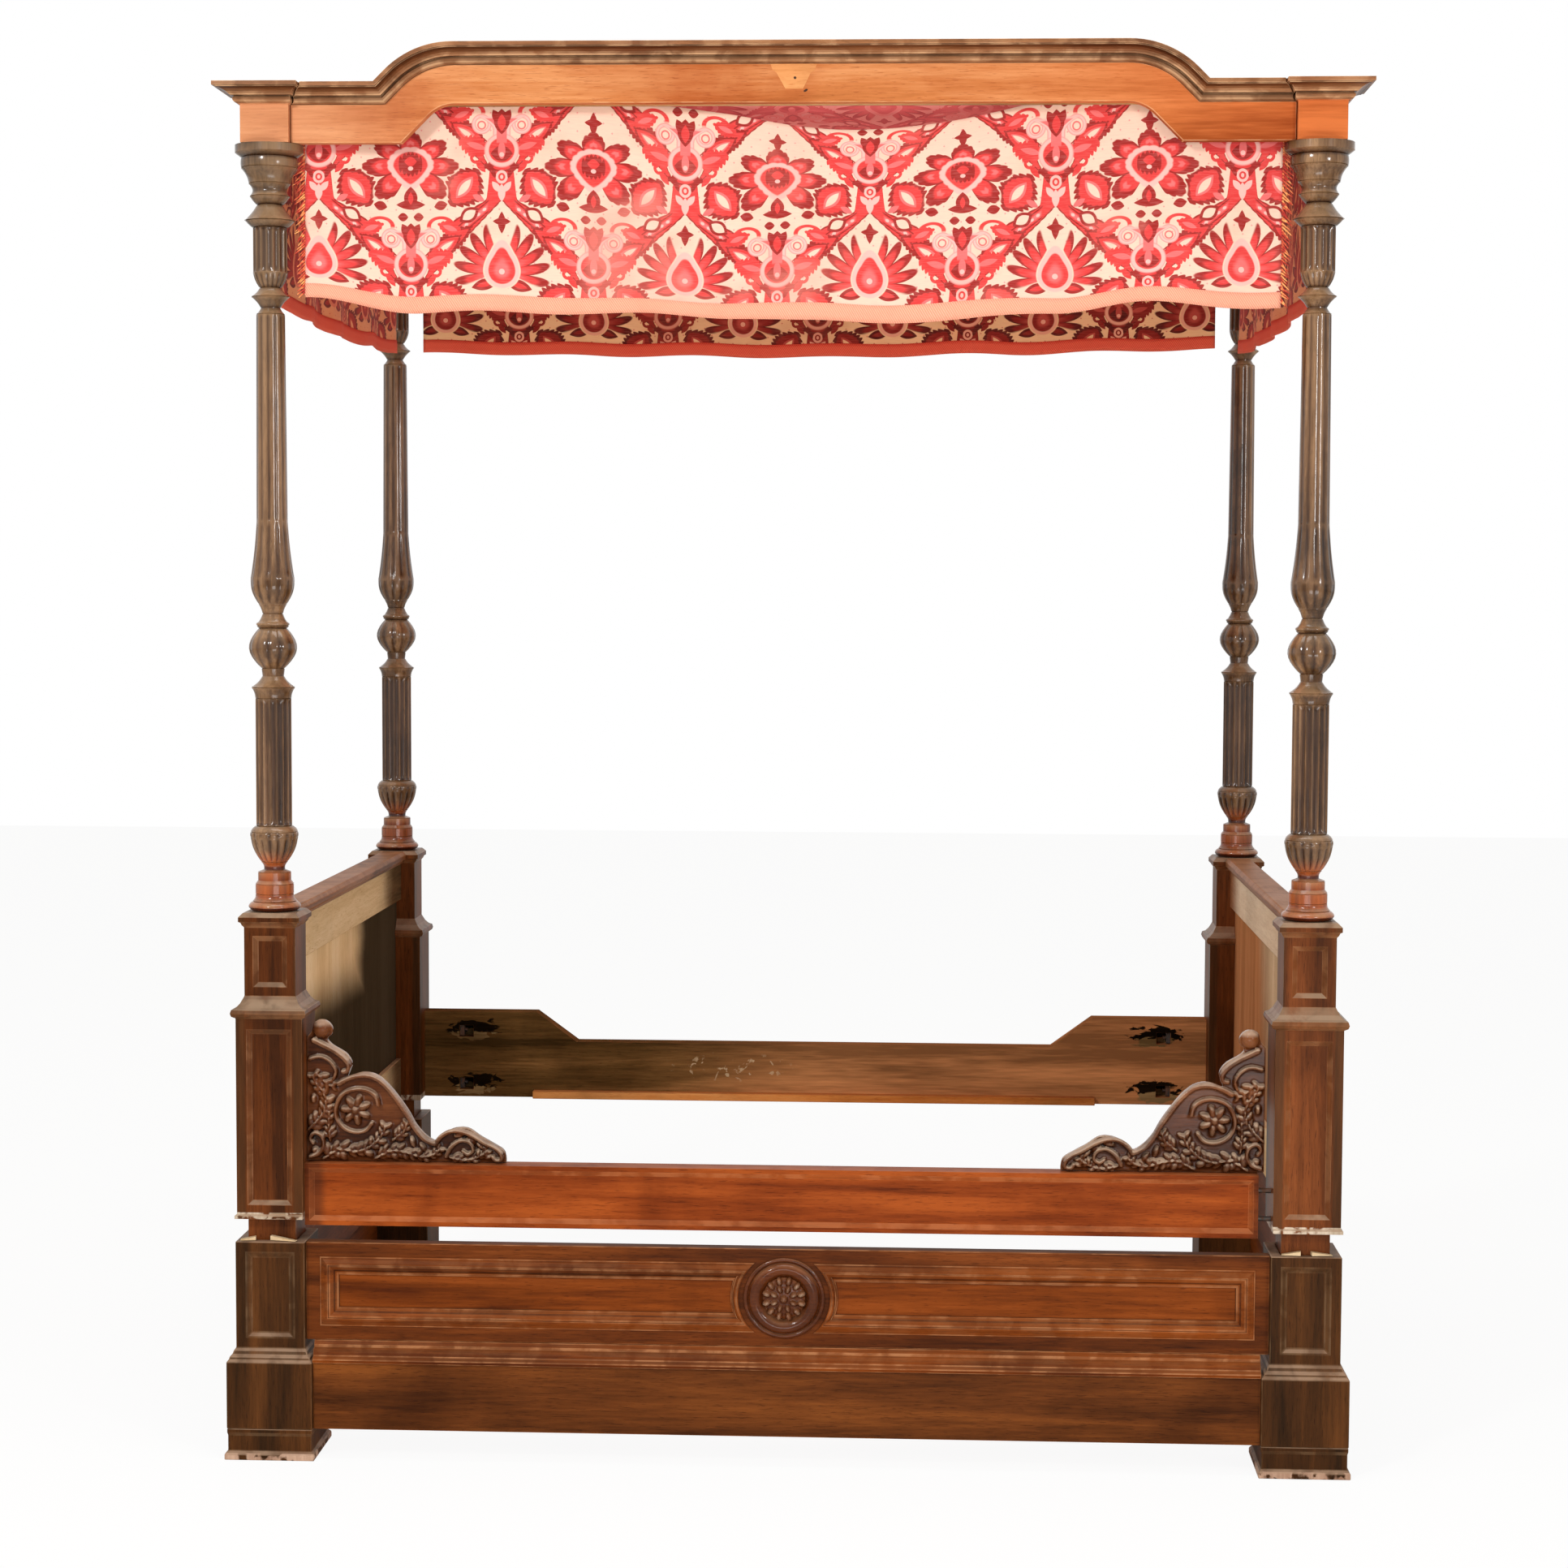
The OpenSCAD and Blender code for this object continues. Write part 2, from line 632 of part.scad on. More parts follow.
module bed_bolt_nuts() {
    color(iron) for (sx = [-1, 1]) for (sy = [-1, 1]) for (z = bolt_heights(sy)) difference() {
        translate([sx * nut_seat - nut_t / 2, sy * rail_mid - nut_w / 2, z - nut_w / 2]) cube([nut_t, nut_w, nut_w]);
        translate([sx * nut_seat, sy * rail_mid, z]) rotate([0, 90, 0])
            cylinder(r = bolt_r + 0.1, h = 2 * nut_t, center = true);
    }
}

module tester_pins() {
    color(iron) for (sx = [-1, 1]) for (sy = [-1, 1]) corner(sx, sy)
        translate([0, 0, post_top - pin_show]) cylinder(r = pin_r, h = 2 * pin_show);
}

// Tester

// Outline of the cornice as [overhang, height] points, for a given full overhang
function crown(out) = [
    [0, 0], [0.16 * out, 0], [0.24 * out, 0.12 * crown_h], [0.24 * out, 0.24 * crown_h],
    [0.36 * out, 0.32 * crown_h], [0.48 * out, 0.52 * crown_h], [0.82 * out, 0.7 * crown_h],
    [0.9 * out, 0.74 * crown_h], [out, 0.8 * crown_h], [out, crown_h]
];

module tester_block(sx, sy) {
    outer = [for (p = crown(crown_out)) [corner_half + p[0], p[1]]];
    inner = crown(crown_return);
    back = [for (i = [len(inner) - 1:-1:0]) [-corner_half - inner[i][0], inner[i][1]]];
    outline = concat(outer, back);
    color(pale_wood) corner(sx, sy) scale([sx, sy, 1]) difference() {
        union() {
            translate([-corner_half, -corner_half, corner_z]) cube([2 * corner_half, 2 * corner_half, frieze_h]);
            translate([0, 0, frieze_top]) intersection() {
                rotate([90, 0, 0]) linear_extrude(height = big, center = true) polygon(outline);
                rotate([90, 0, 90]) linear_extrude(height = big, center = true) polygon(outline);
            }
        }
        translate([0, 0, corner_z - cut]) cylinder(r = pin_r + 2 * play, h = pin_show + 4 + cut);
    }
}

// One side of the arch line, raised by h square to itself, from the middle outwards
function arch_half_line(h, end) = concat(
    [[0, arch_rise + h]],
    [for (a = [90:-7.5:45]) [arch_half + (arch_r + h) * cos(a), arch_rise - arch_r + (arch_r + h) * sin(a)]],
    [[arch_start + h * (sqrt(2) - 1), h], [end, h]]
);
function arch_line(h, end) = concat(
    [for (i = [len(arch_half_line(h, end)) - 1:-1:1]) [-arch_half_line(h, end)[i][0], arch_half_line(h, end)[i][1]]],
    arch_half_line(h, end)
);
function reversed(points) = [for (i = [len(points) - 1:-1:0]) points[i]];

// A band of the arch between two heights, from y0 back to y1
module arch_band(h0, h1, end, y0, y1) {
    translate([0, y1, frieze_top]) rotate([90, 0, 0]) linear_extrude(height = y1 - y0)
        polygon(concat(arch_line(h0, end), reversed(arch_line(h1, end))));
}

module front_frieze() {
    color(pale_wood) arch_band(-frieze_h, 0, frieze_end, -frieze_face, -frieze_face + frieze_t);
}

module front_cornice() {
    steps = [[0, 0.12, 0.2], [0.12, 0.24, 0.24], [0.24, 0.38, 0.34], [0.38, 0.52, 0.46],
             [0.52, 0.64, 0.62], [0.64, 0.76, 0.84], [0.76, 1, 1]];
    color(pale_wood) for (s = steps)
        arch_band(s[0] * crown_h, s[1] * crown_h, frieze_end - s[2] * crown_return - crown_gap,
                  -frieze_face - s[2] * crown_out, -frieze_face + frieze_t);
}

module rear_frieze() {
    color(pale_wood) translate([-frieze_end, frieze_face - frieze_t, corner_z])
        cube([2 * frieze_end, frieze_t, frieze_h]);
}

module side_frieze(sx) {
    color(pale_wood) translate([sx * (side_frieze_face - frieze_t / 2) - frieze_t / 2, -side_frieze_end, corner_z])
        cube([frieze_t, 2 * side_frieze_end, frieze_h]);
}

// A straight cornice along Y whose face is at x = 0, with its ends cut back to clear the corner crowns
module straight_cornice(half_len) {
    ends = crown_return + 1.5;
    translate([0, half_len - ends, 0]) rotate([90, 0, 0]) linear_extrude(height = 2 * (half_len - ends))
        polygon(concat([[-frieze_t, 0]], crown(crown_out), [[-frieze_t, crown_h]]));
}

module rear_cornice() {
    color(pale_wood) translate([0, frieze_face, frieze_top]) rotate([0, 0, 90]) straight_cornice(frieze_end);
}

module side_cornice(sx) {
    color(pale_wood) scale([sx, 1, 1]) translate([side_frieze_face, 0, frieze_top])
        straight_cornice(side_frieze_end);
}

module tester_laths() {
    inner = frieze_face - frieze_t;
    side_inner = side_frieze_face - frieze_t;
    color(pale_wood) for (s = [-1, 1]) {
        translate([-lath_end, s * (inner - lath_t / 2) - lath_t / 2, lath_z]) cube([2 * lath_end, lath_t, lath_h]);
        translate([s * (side_inner - lath_t / 2) - lath_t / 2, -side_lath_end, lath_z])
            cube([lath_t, 2 * side_lath_end, lath_h]);
    }
}

// A sheet of cloth as a closed solid: face(u, v) gives its middle surface, n gives its thickness side
module sheet(rows, columns, front, back) {
    nu = columns + 1;
    nv = rows + 1;
    skin = nu * nv;
    rim = concat([for (i = [0:columns]) i], [for (j = [1:rows]) j * nu + columns],
                 [for (i = [columns - 1:-1:0]) rows * nu + i], [for (j = [rows - 1:-1:1]) j * nu]);
    quads = [for (j = [0:rows - 1]) for (i = [0:columns - 1])
             [j * nu + i, j * nu + i + 1, (j + 1) * nu + i + 1, (j + 1) * nu + i]];
    top = [for (q = quads) each [[q[0], q[2], q[1]], [q[0], q[3], q[2]]]];
    under = [for (q = quads) each [[q[0] + skin, q[1] + skin, q[2] + skin], [q[0] + skin, q[2] + skin, q[3] + skin]]];
    edge = [for (k = [0:len(rim) - 1]) let (a = rim[k], b = rim[(k + 1) % len(rim)])
            each [[a, b, b + skin], [a, b + skin, a + skin]]];
    polyhedron(points = concat(front, back), faces = concat(top, under, edge));
}

// The depth of the folds at a place along a valance and a share of its drop from the top
function fold(s, v) = fold_depth * v * sin(360 * s / fold_pitch) + 0.4 * fold_depth * v * sin(563 * s / fold_pitch + 40);
// The wavy lower edge of a valance, from a list of [place, height] pairs
function hem(s, heights) = valance_bottom + lookup(s, heights) + 3 * sin(360 * s / 310 + 50);
front_hem = [[-925, 25], [-700, 0], [-420, -1], [-110, -9], [40, -18], [270, -18],
             [500, 0], [680, 18], [925, 6]];
rear_hem = [[-925, 22], [-450, 16], [0, 13], [450, 21], [925, 32]];
side_hem = [[-605, 12], [0, 4], [605, 16]];
// The droop of the top edge of the front valance, right of its middle
function droop(s) = abs(s - 105) < 330 ? valance_droop * pow(cos((s - 105) * 90 / 330), 2) : 0;

// A valance along X on the line y = 0
module valance(half_len, drooping, heights, columns) {
    rows = 5;
    points = [for (j = [0:rows]) for (i = [0:columns])
              let (s = -half_len + 2 * half_len * i / columns, v = j / rows,
                   top = valance_top - (drooping ? droop(s) : 0))
              [s, fold(s, v), top + (hem(s, heights) - top) * v]];
    sheet(rows, columns, [for (p = points) p + [0, cloth_t / 2, 0]], [for (p = points) p - [0, cloth_t / 2, 0]]);
}

module front_valance() {
    color(cloth_red) translate([0, -cloth_line, 0]) valance(valance_end, true, front_hem, 60);
}

module rear_valance() {
    color(cloth_red) translate([0, cloth_line, 0]) mirror([0, 1, 0]) valance(valance_end, false, rear_hem, 60);
}

module side_valance(sx) {
    color(cloth_red) translate([sx * side_cloth_line, 0, 0]) rotate([0, 0, 90]) mirror([0, sx < 0 ? 1 : 0, 0])
        valance(side_valance_end, false, side_hem, 40);
}

// The ceiling cloth lies inside the valances and is notched round the corner crowns
module ceiling_cloth() {
    columns = 18;
    rows = 14;
    ceiling_half_x = side_cloth_line - cloth_t / 2 - play;
    ceiling_half_y = cloth_line - cloth_t / 2 - play;
    notch_x = lath_end;
    notch_y = side_lath_end;
    inner = rows - 4;
    ys = concat([-ceiling_half_y, -notch_y], [for (k = [0:inner]) (2 * k / inner - 1) * (notch_y - 3)],
                [notch_y, ceiling_half_y]);
    points = [for (j = [0:rows]) for (i = [0:columns])
              let (wide = abs(ys[j]) > notch_y - 2 ? notch_x : ceiling_half_x,
                   u = 2 * i / columns - 1, w = ys[j] / ceiling_half_y)
              [u * wide, ys[j], lath_z + lath_h / 2 - ceiling_sag * (1 - u * u) * (1 - w * w)]];
    color(cloth_red) sheet(rows, columns, [for (p = points) p + [0, 0, cloth_t / 2]],
                           [for (p = points) p - [0, 0, cloth_t / 2]]);
}

foot(-1, -1);  // front_left_foot
foot(1, -1);  // front_right_foot
foot(-1, 1);  // rear_left_foot
foot(1, 1);  // rear_right_foot
plinth_block(-1, -1);  // front_left_plinth_block
plinth_block(1, -1);  // front_right_plinth_block
plinth_block(-1, 1);  // rear_left_plinth_block
plinth_block(1, 1);  // rear_right_plinth_block
front_plinth_board();
front_apron_moulding();
front_apron_frame();
front_apron_panels();
rosette_ring();
rosette_boss();
end_apron(-1);  // left_end_apron
end_apron(1);  // right_end_apron
end_apron_mouldings();
post_block(-1, -1);  // front_left_post_block
post_block(1, -1);  // front_right_post_block
post_block(-1, 1);  // rear_left_post_block
post_block(1, 1);  // rear_right_post_block
turned_post(-1, -1);  // front_left_turned_post
turned_post(1, -1);  // front_right_turned_post
turned_post(-1, 1);  // rear_left_turned_post
turned_post(1, 1);  // rear_right_turned_post
front_rail();
rear_rail();
slat_bearers();
bracket(-1);  // left_bracket
bracket(1);  // right_bracket
end_bottom_rail(-1);  // left_bottom_rail
end_bottom_rail(1);  // right_bottom_rail
end_panel(-1);  // left_end_panel
end_panel(1);  // right_end_panel
end_top_rail(-1);  // left_top_rail
end_top_rail(1);  // right_top_rail
capping(-1);  // left_capping
capping(1);  // right_capping
bed_bolts();
bed_bolt_nuts();
tester_pins();
tester_block(-1, -1);  // front_left_tester_block
tester_block(1, -1);  // front_right_tester_block
tester_block(-1, 1);  // rear_left_tester_block
tester_block(1, 1);  // rear_right_tester_block
front_frieze();
rear_frieze();
side_frieze(-1);  // left_frieze
side_frieze(1);  // right_frieze
front_cornice();
rear_cornice();
side_cornice(-1);  // left_cornice
side_cornice(1);  // right_cornice
tester_laths();
front_valance();
rear_valance();
side_valance(-1);  // left_valance
side_valance(1);  // right_valance
ceiling_cloth();
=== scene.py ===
# %% [markdown]
# # A four-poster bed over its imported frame
# The bed is a low plinth section, a carcase with four turned posts that stands in it on
# square tenons, and a tester that lifts off iron pins and is hung with patterned cloth.
# The frame gives every solid its true place. This lesson dresses it: softened edges and
# waxed wood on the joinery, real turning and carving where a lathe or gouge has been,
# and cloth with folds, a woven pattern, braid and a frayed edge.

# %% Load the frame
import json
from collections import namedtuple
from math import atan2, cos, floor, pi, radians, sin, sqrt

import bmesh
import bpy
from mathutils import Matrix, Vector, noise


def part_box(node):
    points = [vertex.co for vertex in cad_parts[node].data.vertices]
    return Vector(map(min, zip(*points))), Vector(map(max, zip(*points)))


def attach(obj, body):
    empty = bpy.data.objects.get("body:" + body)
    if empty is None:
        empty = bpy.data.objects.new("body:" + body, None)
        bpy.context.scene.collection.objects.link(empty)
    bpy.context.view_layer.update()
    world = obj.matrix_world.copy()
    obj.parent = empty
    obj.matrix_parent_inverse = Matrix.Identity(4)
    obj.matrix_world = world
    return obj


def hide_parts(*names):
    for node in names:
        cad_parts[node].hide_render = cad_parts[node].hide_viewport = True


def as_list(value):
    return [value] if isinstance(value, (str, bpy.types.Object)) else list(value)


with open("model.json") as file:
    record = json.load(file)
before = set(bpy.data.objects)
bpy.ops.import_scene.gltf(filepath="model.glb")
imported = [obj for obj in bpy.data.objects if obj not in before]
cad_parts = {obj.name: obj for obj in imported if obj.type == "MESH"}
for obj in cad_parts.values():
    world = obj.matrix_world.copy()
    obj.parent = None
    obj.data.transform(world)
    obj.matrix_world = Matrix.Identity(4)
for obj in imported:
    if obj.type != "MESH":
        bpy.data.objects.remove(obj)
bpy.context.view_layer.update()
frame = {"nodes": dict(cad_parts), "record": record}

record = frame["record"]
post_x, post_y = 0.990, 0.670
corners_of_bed = [(sx, sy, f"{fr}_{lr}") for sx, lr in ((-1, "left"), (1, "right"))
                  for sy, fr in ((-1, "front"), (1, "rear"))]

# %% [markdown]
# ## The camera
# The bed was photographed from the front, a little right of its middle, at eye height and
# from about six metres, so its verticals run nearly straight. A lens of 69 mm on a square
# 36 mm frame gives that flat view. The roll of a quarter of a degree is the photographer's.

# %% Camera
camera = bpy.data.objects.new("camera", bpy.data.cameras.new("camera"))
bpy.context.collection.objects.link(camera)
camera.data.lens = 69.22
camera.data.sensor_width = 36
camera.data.clip_end = 60
eye_place = (0.270, -6.409, 1.692)
pan, tilt, roll = 2.761, 3.827, 0.237
turned = Matrix.Rotation(radians(pan), 4, "Z") @ Matrix.Rotation(radians(90 - tilt), 4, "X")
camera.matrix_world = Matrix.Translation(eye_place) @ turned @ Matrix.Rotation(radians(roll), 4, "Z")
bpy.context.scene.camera = camera
bpy.context.scene.view_settings.view_transform = "Standard"

# %% [markdown]
# ## The studio
# Waxed wood shows its shape by what its edges reflect. A lamp high on the left front draws
# the light lines on mouldings and posts, a weaker one fills from the right, a broad one
# above lights the top edges, and one near the floor throws a little light up under the
# tester. The floor is plain and pale. Camera and mirror rays see a white world, and the
# light that it sheds on the bed is half as strong.

# %% Floor, world and lamps


def colour(red, green, blue):
    """A screen colour from 0 to 255 as the linear colour that a shader takes."""
    linear = [c / 255 / 12.92 if c < 11 else ((c / 255 + 0.055) / 1.055) ** 2.4 for c in (red, green, blue)]
    return (*linear, 1)


def lamp(name, place, size, power, target=(0, 0, 1.2)):
    """A flat lamp that looks at a place."""
    data = bpy.data.lights.new(name, "AREA")
    data.shape = "RECTANGLE"
    data.size, data.size_y = size
    data.energy = power
    made = bpy.data.objects.new(name, data)
    bpy.context.collection.objects.link(made)
    made.location = place
    made.rotation_euler = (Vector(target) - Vector(place)).to_track_quat("-Z", "Y").to_euler()


lamp("key_lamp", (-2.6, -5.0, 4.2), (0.6, 0.9), 138)
lamp("fill_lamp", (3.6, -5.2, 2.4), (0.6, 0.9), 84)
lamp("top_lamp", (0.0, -1.2, 5.6), (3.0, 2.0), 90, (0, 0, 0.5))
lamp("low_lamp", (0.4, -4.4, 0.35), (2.4, 0.8), 40, (0, 0.4, 2.4))

# %% [markdown]
# ## Shader maths as ordinary sums
# A finish is a web of small nodes: masks, ramps and mixes. Written out one by one they
# hide the idea, so one small class stands for a socket and turns + - * / into Math nodes.
# Any other node comes from one method that takes its type, settings and values.

# %% Wires and paints


class Wire:
    """A socket of a material, on which sums add Math nodes."""

    def __init__(self, paint, socket):
        self.paint = paint
        self.socket = socket

    def parts(self):
        """The three parts of a vector, along X, Y and Z."""
        split = self.paint.node("SeparateXYZ", None, [self])
        return [Wire(self.paint, output) for output in split.socket.node.outputs]

    def maths(self, operation, *values):
        return self.paint.node("Math", {"operation": operation}, values)

    def __add__(self, other):
        return self.maths("ADD", self, other)

    __radd__ = __add__

    def __sub__(self, other):
        return self.maths("SUBTRACT", self, other)

    def __rsub__(self, other):
        return self.maths("SUBTRACT", other, self)

    def __mul__(self, other):
        return self.maths("MULTIPLY", self, other)

    __rmul__ = __mul__

    def __truediv__(self, other):
        return self.maths("DIVIDE", self, other)

    def __rtruediv__(self, other):
        return self.maths("DIVIDE", other, self)

    def __pow__(self, other):
        return self.maths("POWER", self, other)

    def __abs__(self):
        return self.maths("ABSOLUTE", self)

    def over(self, low, high):
        """0 below low, 1 above high, and a soft step between."""
        return self.paint.node("MapRange", {"interpolation_type": "SMOOTHSTEP"}, [self, low, high, 0.0, 1.0])

    def under(self, low, high):
        return self.paint.node("MapRange", {"interpolation_type": "SMOOTHSTEP"}, [self, low, high, 1.0, 0.0])


class Paint:
    """A material, with one method that adds any node to it."""

    def __init__(self, name):
        self.material = bpy.data.materials.new(name)
        self.material.use_nodes = True
        self.tree = self.material.node_tree
        self.shader = self.tree.nodes["Principled BSDF"]

    def feed(self, socket, value):
        """Links a wire to a socket, or sets the socket to a plain value."""
        if isinstance(value, Wire):
            self.tree.links.new(value.socket, socket)
        else:
            socket.default_value = value

    def node(self, kind, settings=None, values=(), out=0):
        """Adds a node with its settings and inputs, and gives one of its outputs."""
        made = self.tree.nodes.new("ShaderNode" + kind)
        for key, value in (settings or {}).items():
            setattr(made, key, value)
        pairs = values.items() if isinstance(values, dict) else enumerate(values)
        for key, value in pairs:
            self.feed(made.inputs[key], value)
        return Wire(self, made.outputs[out])

    def blend(self, factor, first, second, how="MIX"):
        """Mixes two colours, each a wire or a screen colour."""
        first, second = (colour(*tone) if isinstance(tone, tuple) else tone for tone in (first, second))
        settings = {"data_type": "RGBA", "blend_type": how}
        return self.node("Mix", settings, {0: factor, 6: first, 7: second}, out=2)

    def ramp(self, tone, *stops):
        """Screen colours for a few values of the tone, and a smooth run between them."""
        made = self.node("ValToRGB", None, [tone])
        steps = made.socket.node.color_ramp.elements
        for index, (place, screen) in enumerate(stops):
            stop = steps[index] if index < 2 else steps.new(place)
            stop.position = place
            stop.color = colour(*screen)
        return made

    def mark(self, name):
        """A value that faces or points of the mesh carry."""
        return self.node("Attribute", {"attribute_name": name}, out="Fac")

    def stretched(self, place, scale):
        return self.node("Mapping", None, {"Vector": place, "Scale": scale})

    def bump(self, strength, distance, height):
        return self.node("Bump", None, {"Strength": strength, "Distance": distance, "Height": height})

    def noise(self, place, scale, detail=4.0, distortion=0.0):
        values = {"Vector": place, "Scale": scale, "Detail": detail, "Distortion": distortion}
        return self.node("TexNoise", None, values)

    def finish(self, **sockets):
        """Feeds sockets of the shader by name, with wires, numbers or screen colours."""
        for name, value in sockets.items():
            value = colour(*value) if isinstance(value, tuple) else value
            self.feed(self.shader.inputs[name.replace("_", " ")], value)
        return self.material


# %% The floor and the white world


def add_object(name, bm):
    """Makes a bmesh an object at the origin."""
    data = bpy.data.meshes.new(name)
    bm.to_mesh(data)
    bm.free()
    made = bpy.data.objects.new(name, data)
    bpy.context.collection.objects.link(made)
    return made


def shown_to(tree, share, lit, seen, out):
    """Mixes two shaders of a node tree and puts the mix out: lit where the share is 0, seen where it is 1."""
    mix = tree.nodes.new("ShaderNodeMixShader")
    for index, socket in enumerate((share, lit.outputs[0], seen.outputs[0])):
        tree.links.new(socket, mix.inputs[index])
    tree.links.new(mix.outputs[0], tree.nodes[out].inputs["Surface"])


floor_paint = Paint("pale_floor")
floor_paint.finish(Base_Color=(250, 247, 241), Roughness=0.85, Specular_IOR_Level=0.1)
floor_white = floor_paint.tree.nodes.new("ShaderNodeEmission")
floor_white.inputs["Color"].default_value = (1, 1, 1, 1)
camera_rays = floor_paint.node("LightPath") * 0.92
shown_to(floor_paint.tree, camera_rays.socket, floor_paint.shader, floor_white, "Material Output")
floor_mesh = bmesh.new()
bmesh.ops.create_grid(floor_mesh, x_segments=1, y_segments=1, size=14)
floor_piece = add_object("floor", floor_mesh)
floor_piece.data.materials.append(floor_paint.material)

world = bpy.data.worlds.new("white_world")
bpy.context.scene.world = world
world.use_nodes = True
sky = world.node_tree
sky_light = sky.nodes["Background"]
sky_light.inputs["Color"].default_value = (1.0, 0.985, 0.96, 1)
sky_light.inputs["Strength"].default_value = 0.5
sky_white = sky.nodes.new("ShaderNodeBackground")
sky_white.inputs["Color"].default_value = (1, 1, 1, 1)
sky_rays = sky.nodes.new("ShaderNodeLightPath")
sky_seen = sky_rays.outputs["Is Camera Ray"]
for ray in ("Is Glossy Ray", "Is Transmission Ray"):
    either = sky.nodes.new("ShaderNodeMath")
    either.operation = "MAXIMUM"
    sky.links.new(sky_seen, either.inputs[0])
    sky.links.new(sky_rays.outputs[ray], either.inputs[1])
    sky_seen = either.outputs[0]
shown_to(sky, sky_seen, sky_light, sky_white, "World Output")

# %% [markdown]
# ## Waxed wood
# The bed is one red-brown timber, aged by hands, light and wax: dark and nearly black in
# the shade of the plinth, orange on the front rail, faded to tan on the tester. One recipe
# makes them all. Noise that is drawn out along the grain gives broad figure, bands and
# fine lines. Each board reads its own shift, so that no figure runs on into the next, and
# bevelled edges carry a mark by which scuffing and painted highlights find them. A second
# mark darkens hollows with old wax and painted shade, and faces that look up are painted
# lighter, with dust and painted top light.

# %% The wood recipe

Spot = namedtuple("Spot", "paint whole x y z facing patches")


def wood(name, dark, mid, light, grain="X", wear_and_light=(176, 110, 64), wear_and_light_share=0.45, gloss=0.34, shine=0.05,
         figure=1.0, blotch=(70, 40, 20), blotched=0.5, ledge_dust_and_light=(150, 98, 62), ledge_dust_and_light_share=0.35, zones=()):
    """The finish of a timber: figure, pores, blotches, zones, old wax with painted shade in hollows, pale edges with
    painted highlights, and dust with painted top light on faces that look up.
    """
    paint = Paint(name)
    offset = paint.node("VectorMath", {"operation": "SCALE"}, {0: (3.17, 1.73, 2.31), "Scale": paint.mark("board")})
    whole = paint.node("TexCoord", out="Object")
    place = paint.node("VectorMath", {"operation": "ADD"}, [whole, offset])
    drawn_out = [0.9 if axis == grain else 14 for axis in "XYZ"]
    along = paint.stretched(place, drawn_out)
    broad = paint.noise(along, 0.55 * figure, 3.0, 1.1)
    bands = paint.noise(along, 1.9 * figure, 6.0, 0.5)
    lines = paint.noise(along, 14.0, 3.0, 0.2)
    tone = broad * 0.5 + bands * 0.36 + lines * 0.2
    base = paint.ramp(tone, (0.40, dark), (0.53, mid), (0.66, light))
    pores = paint.noise(paint.stretched(place, [3 * s for s in drawn_out]), 16.0, 2.0)
    base = paint.blend(pores.over(0.58, 0.7) * 0.45, base, dark, "MULTIPLY")
    patches = paint.noise(place, 3.2, 5.0, 0.6)
    base = paint.blend(patches.over(0.46, 0.7) * blotched, base, blotch, "MULTIPLY")
    facing = paint.node("NewGeometry", out="Normal").parts()
    spot = Spot(paint, whole, *whole.parts(), facing, patches)
    for mask, first, second in zones:
        base = paint.blend(mask(spot), base, paint.ramp(tone, (0.42, first), (0.62, second)))
    scuffs = paint.noise(place, 22.0, 4.0, 0.4)
    # Hollows are darkened: old wax together with painted shade.
    base = paint.blend(paint.mark("hollow"), base, (128, 100, 82), "MULTIPLY")
    # Marked edges are painted pale: scuffing together with painted highlights.
    base = paint.blend(paint.mark("edge") * (0.3 + scuffs.over(0.42, 0.62) * 0.7) * wear_and_light_share, base, wear_and_light)
    # Faces that look up are painted lighter: partly dust, partly painted light from above.
    dust_and_top_light = facing[2].over(0.2, 0.7) * (0.5 + scuffs.over(0.35, 0.6) * 0.5) * ledge_dust_and_light_share
    base = paint.blend(dust_and_top_light, base, ledge_dust_and_light)
    return paint.finish(Base_Color=base, Roughness=gloss + patches * 0.18, Specular_IOR_Level=shine,
                        Normal=paint.bump(0.25, 0.0006, lines + bands * 0.6))


# %% The timbers of the bed


def below(height, soft):
    """Everything under a height, such as bases that no sun has reached."""
    return lambda spot: spot.z.under(height, height + soft)


def stiles(spot):
    """Round the raised fields the stiles of the posts have stayed darker."""
    across, deep = abs(abs(spot.x) - post_x), abs(abs(spot.y) - post_y)
    turned = abs(spot.facing[0]).over(0.6, 0.7)
    return (across + turned * (deep - across)).over(0.043, 0.050) * 0.85


def bleached(spot):
    """The upper ends of the two left posts have faded."""
    return spot.z.over(1.9, 2.4) * spot.x.under(-0.5, 0.5)


def outside(spot):
    """The outer faces of the two ends, which keep the wood's own darker colour without the painted pale light."""
    return (spot.x * spot.facing[0]).over(0.3, 0.5)


def shade_inside(spot):
    """Painted shade on the inner face of the left end: dark at the back and at the foot."""
    behind = (spot.y + spot.patches * 0.12).over(0.14, 0.30)
    return behind.maths("MAXIMUM", behind, (spot.z + spot.patches * 0.06).under(0.80, 0.93)) * 0.95


def shade_behind(spot):
    """Painted shade on the right end: its painted pale light stays only in front and near the top."""
    return (spot.y + (0.9 - spot.z) * 0.55 + spot.patches * 0.16).over(-0.10, 0.26) * 0.94


def faces_front(spot):
    """1 on faces that look to the front of the bed."""
    return spot.facing[1].under(-0.6, -0.4)


def oval_round(spot, x, z, wide, high):
    """Distance from the middle of an oval on a front, 1 on its line."""
    return (((spot.x - x) / wide) ** 2 + ((spot.z - z) / high) ** 2) ** 0.5


